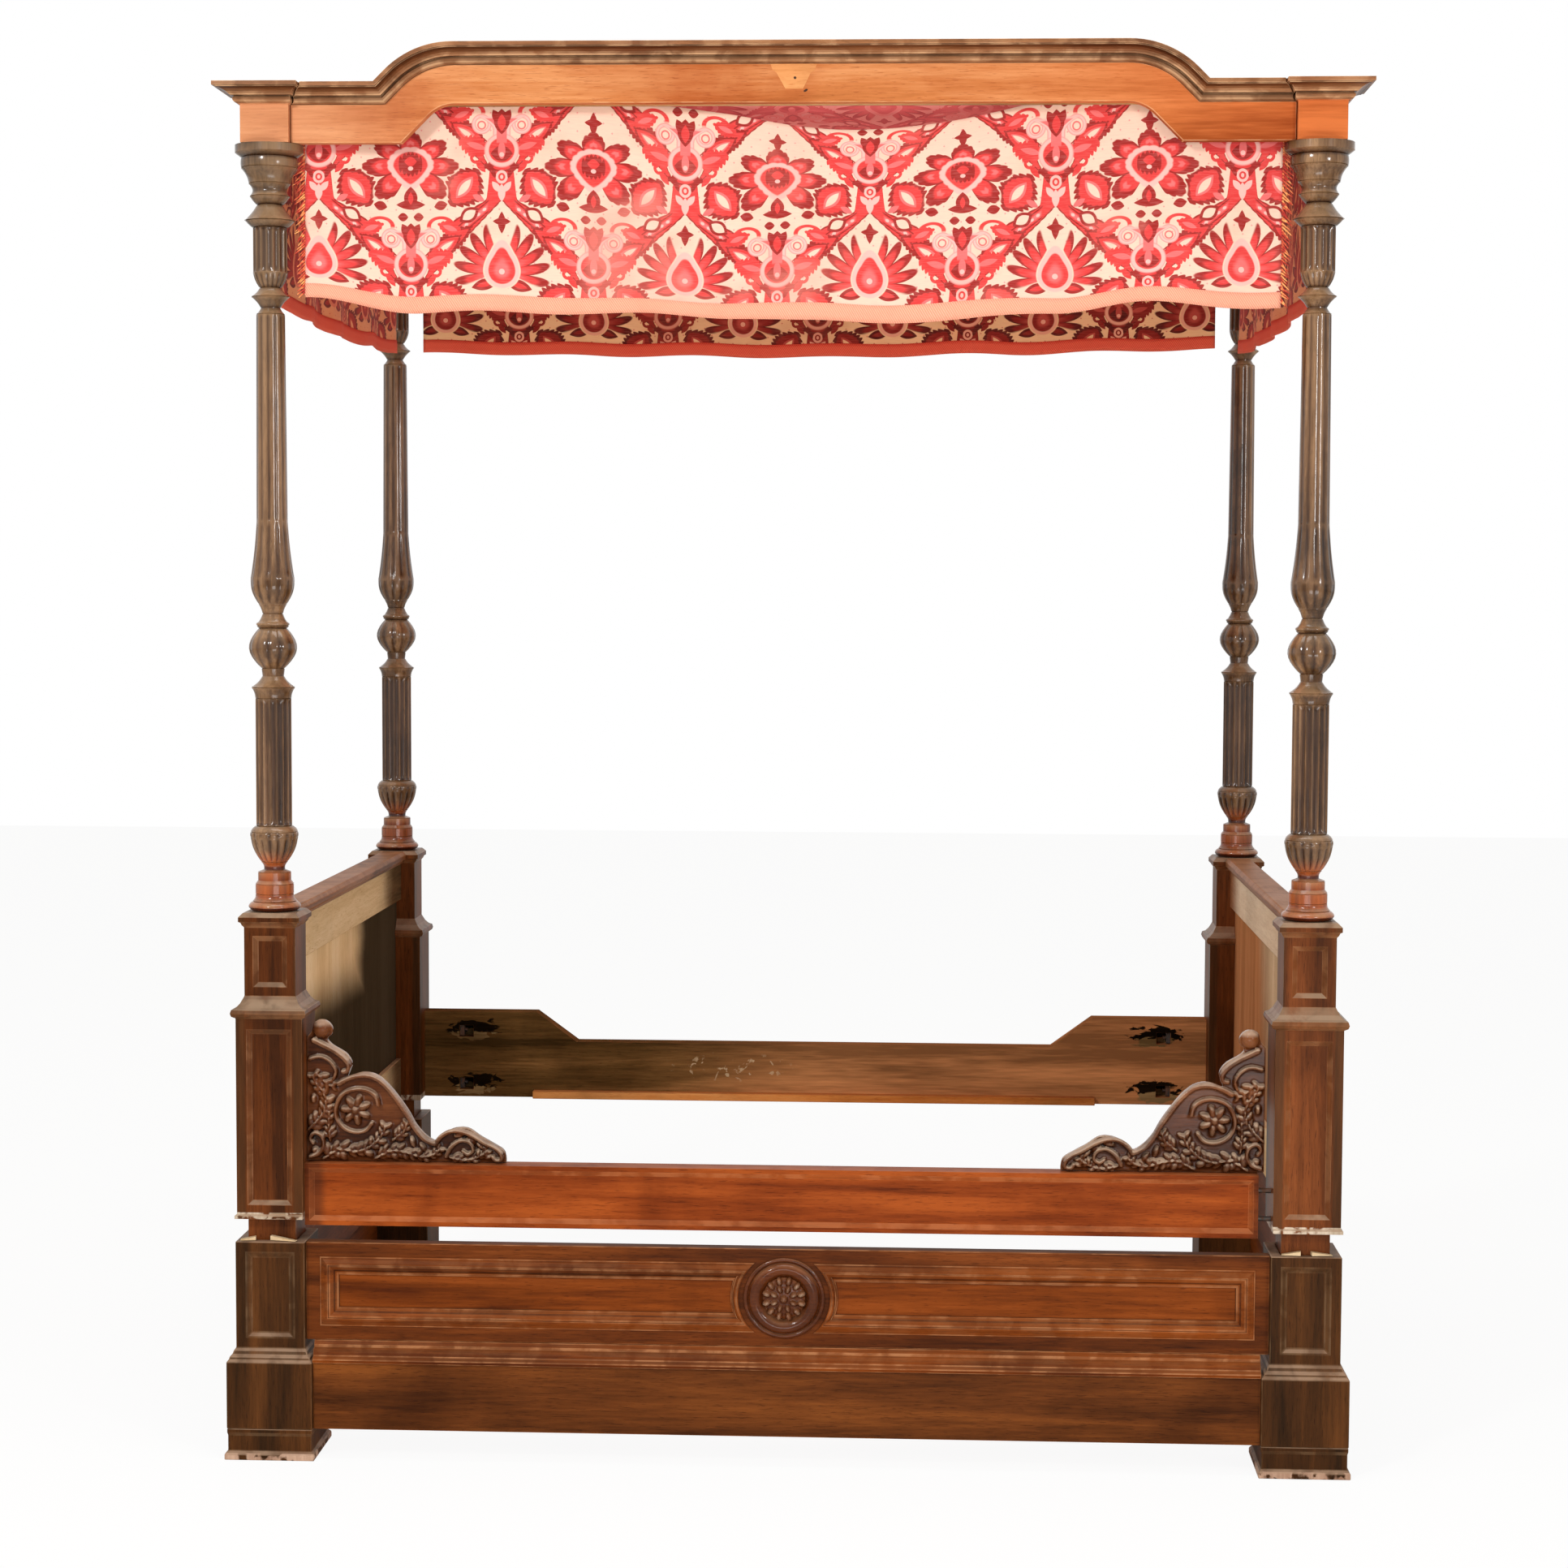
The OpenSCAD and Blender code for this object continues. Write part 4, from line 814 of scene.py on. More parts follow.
def turned_post(sx, sy, name):
    """A post spun from the turning and then worked round, on its corner of the bed."""
    bm = bmesh.new()
    row_mark = bm.verts.layers.int.new("row")
    share_mark = bm.verts.layers.float.new("share")
    wear_and_light, wax_and_shade = mark_layers(bm.verts)
    chain = [bm.verts.new((0, 0, turned_foot))]
    rings = []
    height = 0
    for number, row in enumerate(turning):
        if number in grooved_rows:
            rings.append((height, min(turning[number - 1][2], row[1]) - 1.5, number, 0))
        rings += [(height + rise, radius, number, share) for radius, rise, share in row_rings(row)]
        height += row[0]
    profile = [(rise, radius) for rise, radius, _, _ in rings]
    for place, (rise, radius, number, share) in enumerate(rings):
        vert = bm.verts.new((radius / 1000, 0, turned_foot + rise / 1000))
        vert[row_mark] = number
        vert[share_mark] = share
        # Grooves are darkened as old wax and painted shade, and ridges are painted pale as scuffing and painted
        # highlights.
        depth = sink(profile, place)
        vert[wax_and_shade] = min(1, max(0, depth))
        vert[wear_and_light] = min(1, max(0, -depth - 0.1))
        chain.append(vert)
    chain.append(bm.verts.new((0, 0, turned_foot + height / 1000)))
    edges = [bm.edges.new(pair) for pair in zip(chain, chain[1:])]
    bmesh.ops.spin(bm, geom=chain + edges, cent=(0, 0, 0), axis=(0, 0, 1), angle=2 * pi, steps=128, use_merge=True)
    for vert in bm.verts:
        work = worked_rows.get(vert[row_mark])
        if not work or vert.co.xy.length < 0.005:
            continue
        waves, depth, form = work
        share = vert[share_mark]
        length = turning[vert[row_mark]][0]
        turn = atan2(vert.co.y, vert.co.x) * waves / (2 * pi)
        swing = abs(2 * (turn - floor(turn)) - 1)
        from_end = min(share, 1 - share) * length
        if form == "flute":
            cut_in = depth * max(0, 1 - swing * swing) * sqrt(min(1, from_end / 9))
            cut_in = cut_in if from_end > 0.5 else 0
        else:
            cut_in = depth * swing * swing * min(1, 0.25 + from_end / 8)
        radius = vert.co.xy.length
        vert.co.xy *= (radius - cut_in / 1000) / radius
        # Flutes and the dips between lobes are darkened as wax and painted shade, and their ridges are painted pale
        # as scuffing and painted highlights.
        vert[wax_and_shade] = min(1, vert[wax_and_shade] + 0.8 * cut_in / depth)
        vert[wear_and_light] = max(0, vert[wear_and_light] + 0.5 - 1.2 * cut_in / depth)
    bmesh.ops.remove_doubles(bm, verts=bm.verts, dist=1e-5)
    bmesh.ops.recalc_face_normals(bm, faces=bm.faces)
    for face in bm.faces:
        face.smooth = True
    bmesh.ops.translate(bm, verts=bm.verts, vec=(sx * post_x, sy * post_y, 0))
    for edge in bm.edges:
        if len(edge.link_faces) == 2 and edge.calc_face_angle() > radians(30):
            edge.smooth = False
    return piece(name + "_turned_post_dressed", bm, "carcase", "turned_wood", [name + "_turned_post"])


for sx, sy, name in corners_of_bed:
    post = turned_post(sx, sy, name)
print("post faces:", len(post.data.polygons))

# %% [markdown]
# ## The carved brackets
# A bracket scrolls up the post from the rail: a knob with a spiral, an S-shaped shoulder,
# a long lobe with a rolled rim round a flower, and an acanthus tip that ends in a scroll.
# The back board is cut to the outline. Strokes of overlapping balls make rims and
# scrolls, drawn-out balls make leaves, and a voxel remesh carves them as one.

# %% Bracket strokes
bracket_outline = [
    (0, 0), (0, 241), (10, 253), (14, 268), (26, 275), (40, 272), (50, 260), (49, 247), (40, 238), (50, 226),
    (75, 211), (88, 192), (84, 176), (80, 164), (97, 171), (115, 174), (137, 168), (159, 150), (181, 123),
    (199, 97), (213, 72), (234, 50), (254, 42), (272, 60), (292, 68), (314, 67), (337, 52), (362, 38),
    (382, 25), (387, 8), (387, 0),
]
# Each rim or scroll is a line of places, its radius at both ends and its height over the back
rim_strokes = [
    ([(16, 236), (32, 228), (54, 217), (73, 203), (83, 189), (80, 177), (72, 176)], 6.5, 5.0, 29),
    ([(64, 152), (78, 160), (98, 167), (120, 168), (140, 161), (160, 143), (180, 117), (198, 90), (212, 66),
      (230, 46), (250, 37)], 6.0, 5.0, 29),
    ([(140, 112), (134, 130), (114, 141), (88, 140), (68, 128), (58, 106), (60, 84), (74, 66), (96, 58),
      (116, 62), (128, 76)], 5.2, 4.2, 27),
    ([(250, 37), (262, 52), (280, 62), (300, 62), (322, 54), (346, 40), (366, 31), (378, 20), (378, 9),
      (368, 7), (362, 14)], 5.2, 4.2, 28),
    ([(272, 14), (282, 32), (300, 44), (318, 40), (324, 26), (314, 18), (304, 24)], 5.0, 3.6, 27),
    ([(8, 10), (24, 16), (34, 32), (30, 50), (16, 56), (8, 46), (14, 36)], 4.8, 3.8, 27),
    ([(8, 200), (28, 204), (46, 196), (58, 178), (54, 162)], 4.6, 3.4, 26),
]
# Leaves grow in pairs along these lines; the last number is the length of a leaf
leaf_lines = [
    ([(8, 66), (26, 84), (38, 108), (34, 134), (20, 152), (10, 176)], 21),
    ([(40, 10), (66, 24), (96, 20), (124, 30), (146, 52), (156, 76)], 22),
    ([(140, 10), (166, 22), (192, 20), (222, 12), (246, 16), (262, 30)], 19),
    ([(46, 46), (44, 76), (46, 102)], 16),
    ([(172, 46), (190, 62), (196, 80)], 17),
    ([(284, 10), (312, 6), (340, 16), (352, 26)], 16),
    ([(26, 166), (44, 150), (58, 146)], 17),
]
leaf_lumps = [(206, 40, 11, 5.5, 1.9), (226, 30, 10, 5, 2.3), (296, 54, 12, 4.5, 0.2), (320, 46, 11, 4.5, -0.5),
              (338, 34, 11, 4.5, -0.6), (354, 12, 9, 4, 0.2), (14, 122, 9, 5, 1.6), (16, 22, 7, 6, 0.4)]


def spline(points, count):
    """Points at even shares along a smooth curve through the given ones."""
    spread = []
    last = len(points) - 1
    for k in range(count + 1):
        t = last * k / count
        i = min(int(t), last - 1)
        f = t - i
        a, b, c, d = (Vector(points[max(0, min(last, j))]) for j in (i - 1, i, i + 1, i + 2))
        spread.append(0.5 * (2 * b + (c - a) * f + (2 * a - 5 * b + 4 * c - d) * f * f
                             + (3 * b - a - 3 * c + d) * f ** 3))
    return spread


def leaves(bm, line, size, level):
    """Pairs of pointed leaflets along a stem, each pair a little smaller than the last."""
    run = sum((Vector(b) - Vector(a)).length for a, b in zip(line, line[1:]))
    steps = max(2, int(run / (size * 0.62)))
    stem = spline(line, steps)
    for k in range(steps):
        ahead = stem[k + 1] - stem[k]
        way = atan2(ahead.y, ahead.x)
        grown = size * (1.1 - 0.4 * k / steps)
        lump(bm, (stem[k].x / 1000, level - 0.001, stem[k].y / 1000), (grown * 0.00055, 0.0026, 0.0125), way)
        for side in (-1, 1):
            wild = noise.noise(Vector((stem[k].x * 0.11, stem[k].y * 0.11, side * 3.0)))
            out = way + side * (0.75 + wild * 0.5)
            tip = stem[k] + Vector((cos(out), sin(out))) * grown * (0.48 + 0.12 * wild)
            leaf = (max(tip.x, 4) / 1000, level - 0.001 * wild, max(tip.y, 4) / 1000)
            lump(bm, leaf, (grown * 0.00056, grown * (0.00029 + 0.0001 * wild), 0.0105 + 0.004 * wild), out)


def bracket(sx, name, start):
    """A carved bracket. It is drawn from its corner in millimetres and then put on its side of the bed."""
    bm = bmesh.new()
    back, ground, foot = -0.6765, 0.013, 0.572
    edge = [Vector(bracket_outline[0]), *spline(bracket_outline[1:-1], 110), Vector(bracket_outline[-1])]
    board = bm.faces.new([bm.verts.new((p.x / 1000, back, p.y / 1000)) for p in edge])
    bmesh.ops.translate(bm, verts=raised(bm, board, first=True).verts, vec=(0, -ground, 0))
    bmesh.ops.holes_fill(bm, edges=bm.edges, sides=0)
    bmesh.ops.triangulate(bm, faces=bm.faces)
    for points, first, last, height in rim_strokes:
        run = sum((Vector(b) - Vector(a)).length for a, b in zip(points, points[1:]))
        steps = int(run / 2.6)
        for k, p in enumerate(spline(points, steps)):
            radius = (first + (last - first) * k / steps) / 1000
            middle, rise = (ground + height / 1000) / 2, (height / 1000 - ground) / 2
            lump(bm, (p.x / 1000, back - middle, p.y / 1000), (radius, radius, rise + 0.003), detail=1)
    for x, z, length, width, turn in leaf_lumps:
        tip = (x / 1000, back - ground - 0.001, z / 1000)
        lump(bm, tip, (length / 1000, width / 1000, 0.0115), turn)
    for line, size in leaf_lines:
        leaves(bm, line, size, back - ground)
    lump(bm, (0.030, back - ground * 0.9, 0.257), (0.0175, 0.0175, 0.0165), detail=3)
    for k in range(7):
        angle = 2 * pi * k / 7 + 0.4
        petal = (0.096 + 0.017 * cos(angle), back - ground - 0.002, 0.101 + 0.017 * sin(angle))
        lump(bm, petal, (0.0140, 0.0070, 0.0150), angle)
    lump(bm, (0.096, back - ground - 0.004, 0.101), (0.0085, 0.0085, 0.0165))
    for vert in bm.verts:
        vert.co = (max(vert.co.x, 0.0004), min(vert.co.y, back), max(vert.co.z, 0.0006))
    for vert in bm.verts:
        vert.co = (sx * (start - vert.co.x), vert.co.y, foot + vert.co.z)
    bmesh.ops.recalc_face_normals(bm, faces=bm.faces)
    carved(name + "_dressed", bm, 0.0018, "carcase", "carved_wood", [name])


bracket(-1, "left_bracket", 0.926)
bracket(1, "right_bracket", 0.913)

# %% [markdown]
# The joints between the plinth and the posts don't close. Splinters and thin wedges of
# pale wood have been pushed in on top of the plinth blocks to steady the posts. Each is a
# cube drawn out to a sliver, cut back to a thin end and bevelled.

# %% Wedges on the plinth
bm = bmesh.new()
# Each sliver is a place, a length, depth and height, a turn and which of its ends is thin
slivers = [
    (-1.035, -0.722, 0.4265, 0.030, 0.016, 0.009, 0.12, -1), (-0.965, -0.726, 0.4275, 0.052, 0.010, 0.011, -0.2, 1),
    (1.020, -0.722, 0.4265, 0.040, 0.014, 0.009, 0.1, 1), (0.962, -0.724, 0.4270, 0.036, 0.012, 0.010, -0.1, -1),
]
for x, y, z, length, depth, height, yaw, thin in slivers:
    turn = Matrix.Translation((x, y, z)) @ Matrix.Rotation(yaw, 4, "Z")
    cube = bmesh.ops.create_cube(bm, size=1, matrix=turn @ Matrix.Diagonal((length, depth, height * 0.8, 1)))
    for vert in cube["verts"]:
        if (vert.co.x - x) * thin > 0 and vert.co.z > z:
            vert.co.z = z - height * 0.3
bmesh.ops.bevel(bm, geom=bm.edges[:], offset=0.0006, segments=1, profile=0.5, affect="EDGES", clamp_overlap=True,
                material=-1)
piece("plinth_wedges", bm, "plinth", "plinth_block_wood", material=timber["sliver_wood"])

# %% [markdown]
# ## The tester
# Each corner block is a square box with a crown that splays out more on the two outer
# sides than on the inner ones. Extruding a square upwards step by step, and moving each
# new ring of corners to its own overhang, makes box and crown in one piece, mitres too.

# %% Crown profile and corner blocks
crown_rise, crown_reach, crown_return = 0.036, 0.044, 0.024
tester_block_half = 0.046
frieze_foot, frieze_top, frieze_face = 2.5153, 2.5873, 0.702
# Each point is a share of the overhang and a share of the height
crown_shares = [
    (0.0, 0.0), (0.10, 0.01), (0.20, 0.06), (0.26, 0.15), (0.27, 0.25), (0.22, 0.34), (0.20, 0.37), (0.31, 0.38),
    (0.36, 0.40), (0.41, 0.46), (0.50, 0.56), (0.62, 0.65), (0.76, 0.71), (0.88, 0.735), (0.885, 0.77),
    (1.0, 0.785), (1.0, 1.0),
]
# How much painted light and how much painted shade each step between two of these points takes: painted highlights on
# steps that face up, painted shade under the overhangs
crown_lit_steps = [0.3, 0.5, 0.7, 0.3, 0.0, 0.0, 0.0, 0.5, 0.9, 0.4, 0.1, 0.0, 0.0, 0.0, 0.2, 0.25]
crown_shaded_steps = [0.0, 0.0, 0.0, 0.2, 0.8, 1.0, 1.0, 0.0, 0.0, 0.0, 0.2, 0.5, 0.8, 1.0, 0.7, 0.1]


def crowned_block(sx, sy, name):
    """A corner block of the tester with its crown, which reaches out further on the outer sides."""
    bm = bmesh.new()
    wear_and_light, wax_and_shade = mark_layers(bm.faces)
    half = tester_block_half
    levels = [(share, frieze_top + rise * crown_rise) for share, rise in crown_shares]
    square = [bm.verts.new((x * half, y * half, frieze_foot)) for x, y in ((-1, -1), (1, -1), (1, 1), (-1, 1))]
    top = bm.faces.new(square)
    for step, (share, height) in enumerate(levels):
        top = raised(bm, top, first=step == 0)
        if step:
            for face in {f for edge in top.edges for f in edge.link_faces} - {top}:
                face[wear_and_light], face[wax_and_shade] = crown_lit_steps[step - 1], crown_shaded_steps[step - 1]
        for vert in top.verts:
            spread = []
            for at, outer in zip(vert.co.xy, (sx, sy)):
                reach = crown_reach if at * outer > 0 else crown_return
                spread.append((1 if at > 0 else -1) * (half + share * reach))
            vert.co = (*spread, height)
    bmesh.ops.holes_fill(bm, edges=bm.edges, sides=4)
    bmesh.ops.recalc_face_normals(bm, faces=bm.faces)
    bmesh.ops.translate(bm, verts=bm.verts, vec=(sx * post_x, sy * post_y, 0))
    soften(bm, 0.0007, 50)
    block = piece(name + "_dressed", bm, "tester", "tester_wood", [name])
    block.data.materials.append(timber["cornice_wood"])
    for face in block.data.polygons:
        face.material_index = 1 if face.center.z > frieze_top + 0.0004 else 0


for sx, sy, name in corners_of_bed:
    crowned_block(sx, sy, name + "_tester_block")

# %% [markdown]
# The front frieze and its cornice follow one arched line, so both are a profile swept
# along a path. A loop of profile points is extruded from one path point to the next, and
# every point then moves out square to the path by its own height. Because the offset of
# each path point is a vector of its own, the mitre at the foot of the arch comes for free.

# %% Sweep along the arch
arch_rise, arch_half, arch_r = 0.073, 0.630, 0.145
arch_straight = arch_rise - arch_r * (1 - cos(pi / 4))
arch_start = arch_half + arch_r * sin(pi / 4) + arch_straight
arch_end = 0.944
arch_steps = 12


def arch_path():
    """Points of the left half of the arch line, each with the direction of its offset."""
    path = [((-arch_end, 0), (0, 1)), ((-arch_start, 0), (1 - sqrt(2), 1))]
    for step in range(arch_steps + 1):
        a = radians(135 - 45 * step / arch_steps)
        path.append(((-arch_half + arch_r * cos(a), arch_rise - arch_r + arch_r * sin(a)), (cos(a), sin(a))))
    mirrored = [((-p[0], p[1]), (-d[0], d[1])) for p, d in reversed(path)]
    return path + mirrored


def swept(profile, end_gap):
    """Sweeps a closed profile of (forward, up) points along the arch, from left to right."""
    bm = bmesh.new()
    number = bm.verts.layers.int.new("number")
    loop = []
    for k in range(len(profile)):
        vert = bm.verts.new((0, k, 0))
        vert[number] = k
        loop.append(vert)

    def put(verts, place, way, end_side):
        for vert in verts:
            forward, up = profile[vert[number]]
            x = place[0] + way[0] * up + end_side * end_gap(forward)
            vert.co = (x, -frieze_face - forward, frieze_top + place[1] + way[1] * up)

    path = arch_path()
    wear_and_light, wax_and_shade = mark_layers(bm.faces)
    put(loop, *path[0], 1)
    rim = [bm.edges.new(pair) for pair in zip(loop, loop[1:] + loop[:1])]
    bm.faces.new(loop)
    for index, (place, way) in enumerate(path[1:], 1):
        grown = bmesh.ops.extrude_edge_only(bm, edges=rim)
        fresh = [g for g in grown["geom"] if isinstance(g, bmesh.types.BMVert)]
        rim = [g for g in grown["geom"] if isinstance(g, bmesh.types.BMEdge)]
        put(fresh, place, way, -1 if index == len(path) - 1 else 0)
    last = sorted(fresh, key=lambda v: v[number])
    if len(profile) > len(crown_lit_steps):
        for face in bm.faces:
            step = min(vert[number] for vert in face.verts)
            top = max(vert[number] for vert in face.verts)
            if len(face.verts) == 4 and step < len(crown_lit_steps) and top == step + 1:
                face[wear_and_light], face[wax_and_shade] = crown_lit_steps[step], crown_shaded_steps[step]
    bm.faces.new(last)
    bmesh.ops.recalc_face_normals(bm, faces=bm.faces)
    return bm


frieze_t = 0.024
frieze_profile = [(-frieze_t, -0.072), (0, -0.072), (0, 0), (-frieze_t, 0)]
bm = swept(frieze_profile, lambda forward: 0.0015)
soften(bm, 0.0018, 40)
piece("front_frieze_dressed", bm, "tester", "tester_wood", ["front_frieze"])

cornice_profile = [(share * crown_reach, rise * crown_rise) for share, rise in crown_shares]
cornice_profile += [(-frieze_t, crown_rise), (-frieze_t, 0)]
bm = swept(cornice_profile, lambda forward: 0.004 + max(forward, 0) / crown_reach * crown_return)
soften(bm, 0.0006, 50)
piece("front_cornice_dressed", bm, "tester", "tester_wood", ["front_cornice"], timber["cornice_wood"])

# %% [markdown]
# A carved ornament once sat at the middle of the frieze. Where it was glued, the wood is
# still bare and pale: a patch that is wide at the top and narrows down. There is a nail
# hole in it and another below it.

# %% Bare patch on the frieze
hole_paint = Paint("nail_hole")
hole_paint.finish(Base_Color=(60, 34, 20), Roughness=0.9)
bm = bmesh.new()
patch_points = [(-44, 144), (43, 144), (38, 131), (31, 127), (24, 112), (17, 98), (-16, 98), (-24, 112),
                (-33, 128), (-40, 132)]
patch = bm.faces.new([
    bm.verts.new((0.008 + x / 1000, 0.0002 - frieze_face, frieze_foot + z / 1000)) for x, z in patch_points])
bmesh.ops.translate(bm, verts=raised(bm, patch, first=True).verts, vec=(0, -0.0006, 0))
bmesh.ops.recalc_face_normals(bm, faces=bm.faces)
piece("bare_patch", bm, "tester", "tester_wood", material=timber["bare_wood"])
bm = bmesh.new()
lump(bm, (0.010, -frieze_face - 0.0002, 2.6334), (0.0028, 0.0028, 0.0008))
lump(bm, (0.030, -frieze_face - 0.0002, 2.6100), (0.0045, 0.0022, 0.0007), 0.5)
piece("nail_holes", bm, "tester", "tester_wood", material=hole_paint.material, smooth=True)

# %% [markdown]
# ## The damask
# The cloth is a traditional ogee damask in reds on cream. Ribbons part and meet in a
# half-drop repeat of 349 by 427 mm. Flowers fill one row of the cells and palmettes the
# next, with vases, buds and toothed leaves between. Everything mirrors about upright
# lines, so folding the width with Ping-Pong halves the work. Each motif is a distance
# from a simple shape, and a soft step turns that into a mask of colour.

# %% Shapes of the pattern
repeat_w, repeat_h = 349.0, 427.0
half_w, half_h = repeat_w / 2, repeat_h / 2
per_radian = 57.3
cream, pale, blush, pink, crimson, deep = range(6)


def wave(wire, length):
    """A row of arches from 0 to 1, each as long as the given length."""
    turned = wire * (pi / length)
    return abs(turned.maths("SINE", turned))


def wrapped(wire, middle):
    """A height brought into one repeat round the given middle."""
    share = (wire - middle) / repeat_h
    return wire - share.maths("ROUND", share) * repeat_h


def oval(x, y, cx, cy, rx, ry, tooth=0.0, teeth=9.0):
    """Distance from an ellipse, 1 on its line. Teeth are waves along its width."""
    dx, dy = x - cx, y - cy
    near = ((dx / rx) ** 2 + (dy / ry) ** 2) ** 0.5
    return near - wave(dx, teeth) * tooth if tooth else near


def leaf(x, y, cx, cy, length, width, turn=0.0, tooth=0.0, teeth=8.0):
    """Distance from a leaf with two pointed ends, 1 on its line."""
    dx, dy = x - cx, y - cy
    along, across = dx * cos(turn) + dy * sin(turn), dy * cos(turn) - dx * sin(turn)
    near = (along / length) ** 2 + abs(across) / width
    return near - wave(along, teeth) * tooth if tooth else near


class Dye:
    """Colours laid over each other on a ground of cream. Leaves and ovals have their centres from x and y."""

    def __init__(self, paint, yarns):
        self.paint = paint
        self.yarns = yarns
        self.woven = yarns[cream]

    def at(self, x, y):
        """Moves on to the next motif, which is drawn round its own middle."""
        self.x, self.y = x, y
        return self

    def lay(self, tone, mask):
        """Lays one tone over what is woven so far, where the mask is 1."""
        self.woven = self.paint.blend(mask, self.woven, self.yarns[tone])

    def shape(self, tone, near, edge=1.0, soft=0.05):
        self.lay(tone, near.under(edge - soft, edge + soft))

    def leaf(self, tone, *form, soft=0.05):
        self.shape(tone, leaf(self.x, self.y, *form), soft=soft)

    def oval(self, tone, *form, soft=0.05):
        self.shape(tone, oval(self.x, self.y, *form), soft=soft)

    def ring(self, tone, thick, *form, only=1.0):
        """A line along an oval, where the last mask lets it show."""
        near = abs(oval(self.x, self.y, *form) - 1.0)
        self.lay(tone, near.under(thick - 0.04, thick + 0.04) * only)


# %% Motifs


def ribbons(dye):
    """Ribbons that fall from a node, first those of the near one and then the far one's."""
    for a, n in ((dye.x, 0 - dye.y), (half_w - dye.x, half_h - dye.y)):
        trunk = a.under(20.0, 30.0)
        branch = a.over(24.0, 30.0)
        high = 24 + 0.63 * a - 62 * trunk + a.maths("MAXIMUM", a - 95.0, 0.0) * 1.35
        low = 45 + 1.05 * a
        inner = high.maths("MINIMUM", n - high, low - n)
        middle = abs(n - 34.0 - a * 0.84)
        dye.lay(deep, (inner + wave(n, 12.0) * 1.5).over(0.5, 2.0))
        dye.lay(crimson, inner.over(3.0, 4.5))
        dye.lay(deep, abs(middle - 10.0).under(1.2, 2.2) * a.over(22.0, 28.0))
        dye.lay(pink, middle.under(4.0, 6.0) * branch)
        dye.lay(pale, (middle * 0.6 - wave(a + n, 21.0) * 5.0 + 2.6).under(-0.6, 0.2) * branch)


def waist_leaves(dye):
    """Leaves beside the vase and in the waist of the cell."""
    e, t = dye.x, dye.y
    far_e, far_t = half_w - e, wrapped(t - half_h, -20.0)

    def both(*form):
        """A leaf that reaches over the line between two columns, seen from either of them."""
        near, far = leaf(e, t, *form), leaf(far_e, far_t, *form)
        return near.maths("MINIMUM", near, far)

    dye.shape(deep, both(78, 92, 46, 17, 0.60, 0.22, 9.0))
    dye.shape(crimson, both(78, 92, 41, 12, 0.60))
    dye.shape(deep, both(62, 78, 42, 17, 0.62, 0.16, 8.0))
    dye.shape(crimson, both(62, 78, 38, 14, 0.62))
    dye.shape(pink, both(63, 79, 27, 8, 0.62))
    dye.shape(cream, both(66, 81, 19, 4.5, 0.62), soft=0.15)
    dye.shape(crimson, both(52, 58, 30, 16, 0.30, 0.35, 8.0))
    dye.shape(pink, both(48, 58, 20, 6, 0.30))
    dye.ring(crimson, 0.34, 49, 36, 8.5, 8.5)
    dye.leaf(deep, 62, -72, 22, 14, -0.62)
    dye.leaf(cream, 62, -72, 15, 8.5, -0.62, soft=0.1)
    dye.ring(crimson, 0.18, 58, 121, 23, 16, only=t.over(116.0, 122.0))
    dye.shape(crimson, both(76, 117, 24, 12, -0.35, 0.2, 7.0))
    dye.shape(pink, both(76, 117, 15, 5, -0.35))
    dye.shape(deep, both(71, -20, 42, 33, -0.90, 0.20, 9.0), soft=0.04)
    dye.shape(crimson, both(71, -20, 36, 26, -0.90, 0.10, 9.0))
    dye.shape(pink, both(71, -20, 26, 12, -0.90))
    dye.shape(cream, both(71, -20, 20, 7, -0.90), soft=0.1)
    dye.leaf(pink, 44, -40, 13, 6, 0.5)
    dye.leaf(crimson, 40, 20, 15, 6, 0.9)


def vase(dye):
    """A lyre in a pale line, with a tulip in its mouth and small marks over it."""
    dye.oval(deep, 0, 20, 28, 9, 0.25)
    dye.oval(crimson, 0, 18, 16, 5)
    dye.ring(blush, 0.26, 38, 99, 15, 15)
    dye.ring(pale, 0.12, 38, 99, 15, 15)
    dye.ring(pink, 0.2, 38, 97, 7, 7)
    e, t = dye.x, dye.y
    mouth = e - 9.0 - t.maths("MAXIMUM", t - 88.0, 0.0) ** 2 * 0.045
    neck = t.over(58.0, 64.0) * t.under(110.0, 116.0)
    dye.lay(blush, mouth.under(7.0, 8.5) * neck)
    dye.lay(pale, mouth.under(5.0, 6.5) * neck)
    dye.oval(blush, 0, 50, 33, 32)
    dye.oval(pale, 0, 50, 31, 30, soft=0.04)
    dye.oval(crimson, 0, 50, 24.5, 23.5)
    dye.lay(pink, mouth.under(0.0, 1.5) * t.over(62.0, 66.0) * t.under(108.0, 112.0))
    dye.leaf(deep, 0, 44, 21, 15)
    dye.oval(pink, 0, 50, 7, 16)
    dye.oval(pale, 0, 42, 4.5, 4.5)
    dye.leaf(deep, 0, 104, 24, 15, pi / 2)
    dye.leaf(deep, 10, 113, 15, 8, 1.1)
    dye.leaf(crimson, 0, 102, 16, 8, pi / 2)
    dye.leaf(deep, 15, 139, 10, 8, soft=0.08)
    dye.leaf(deep, 58, 160, 13, 9, 0.2, soft=0.08)


def meeting(dye):
    """Where ribbons meet: a small ring over a pale sprig."""
    dye.ring(pale, 0.26, 0, 0, 9, 10)
    dye.oval(pale, 0, 0, 3, 4)
    dye.leaf(pale, 10, -19, 13, 6, 0.9, soft=0.1)
    dye.leaf(pale, 0, -30, 17, 7, pi / 2, soft=0.1)
    dye.leaf(deep, 15, 6, 9, 4, 1.2, soft=0.1)


def cross(dye, up):
    """A small cross over a flower or a palmette."""
    dye.leaf(deep, 0, up, 21, 7.5, pi / 2)
    dye.leaf(deep, 0, up + 2, 17, 7.0)


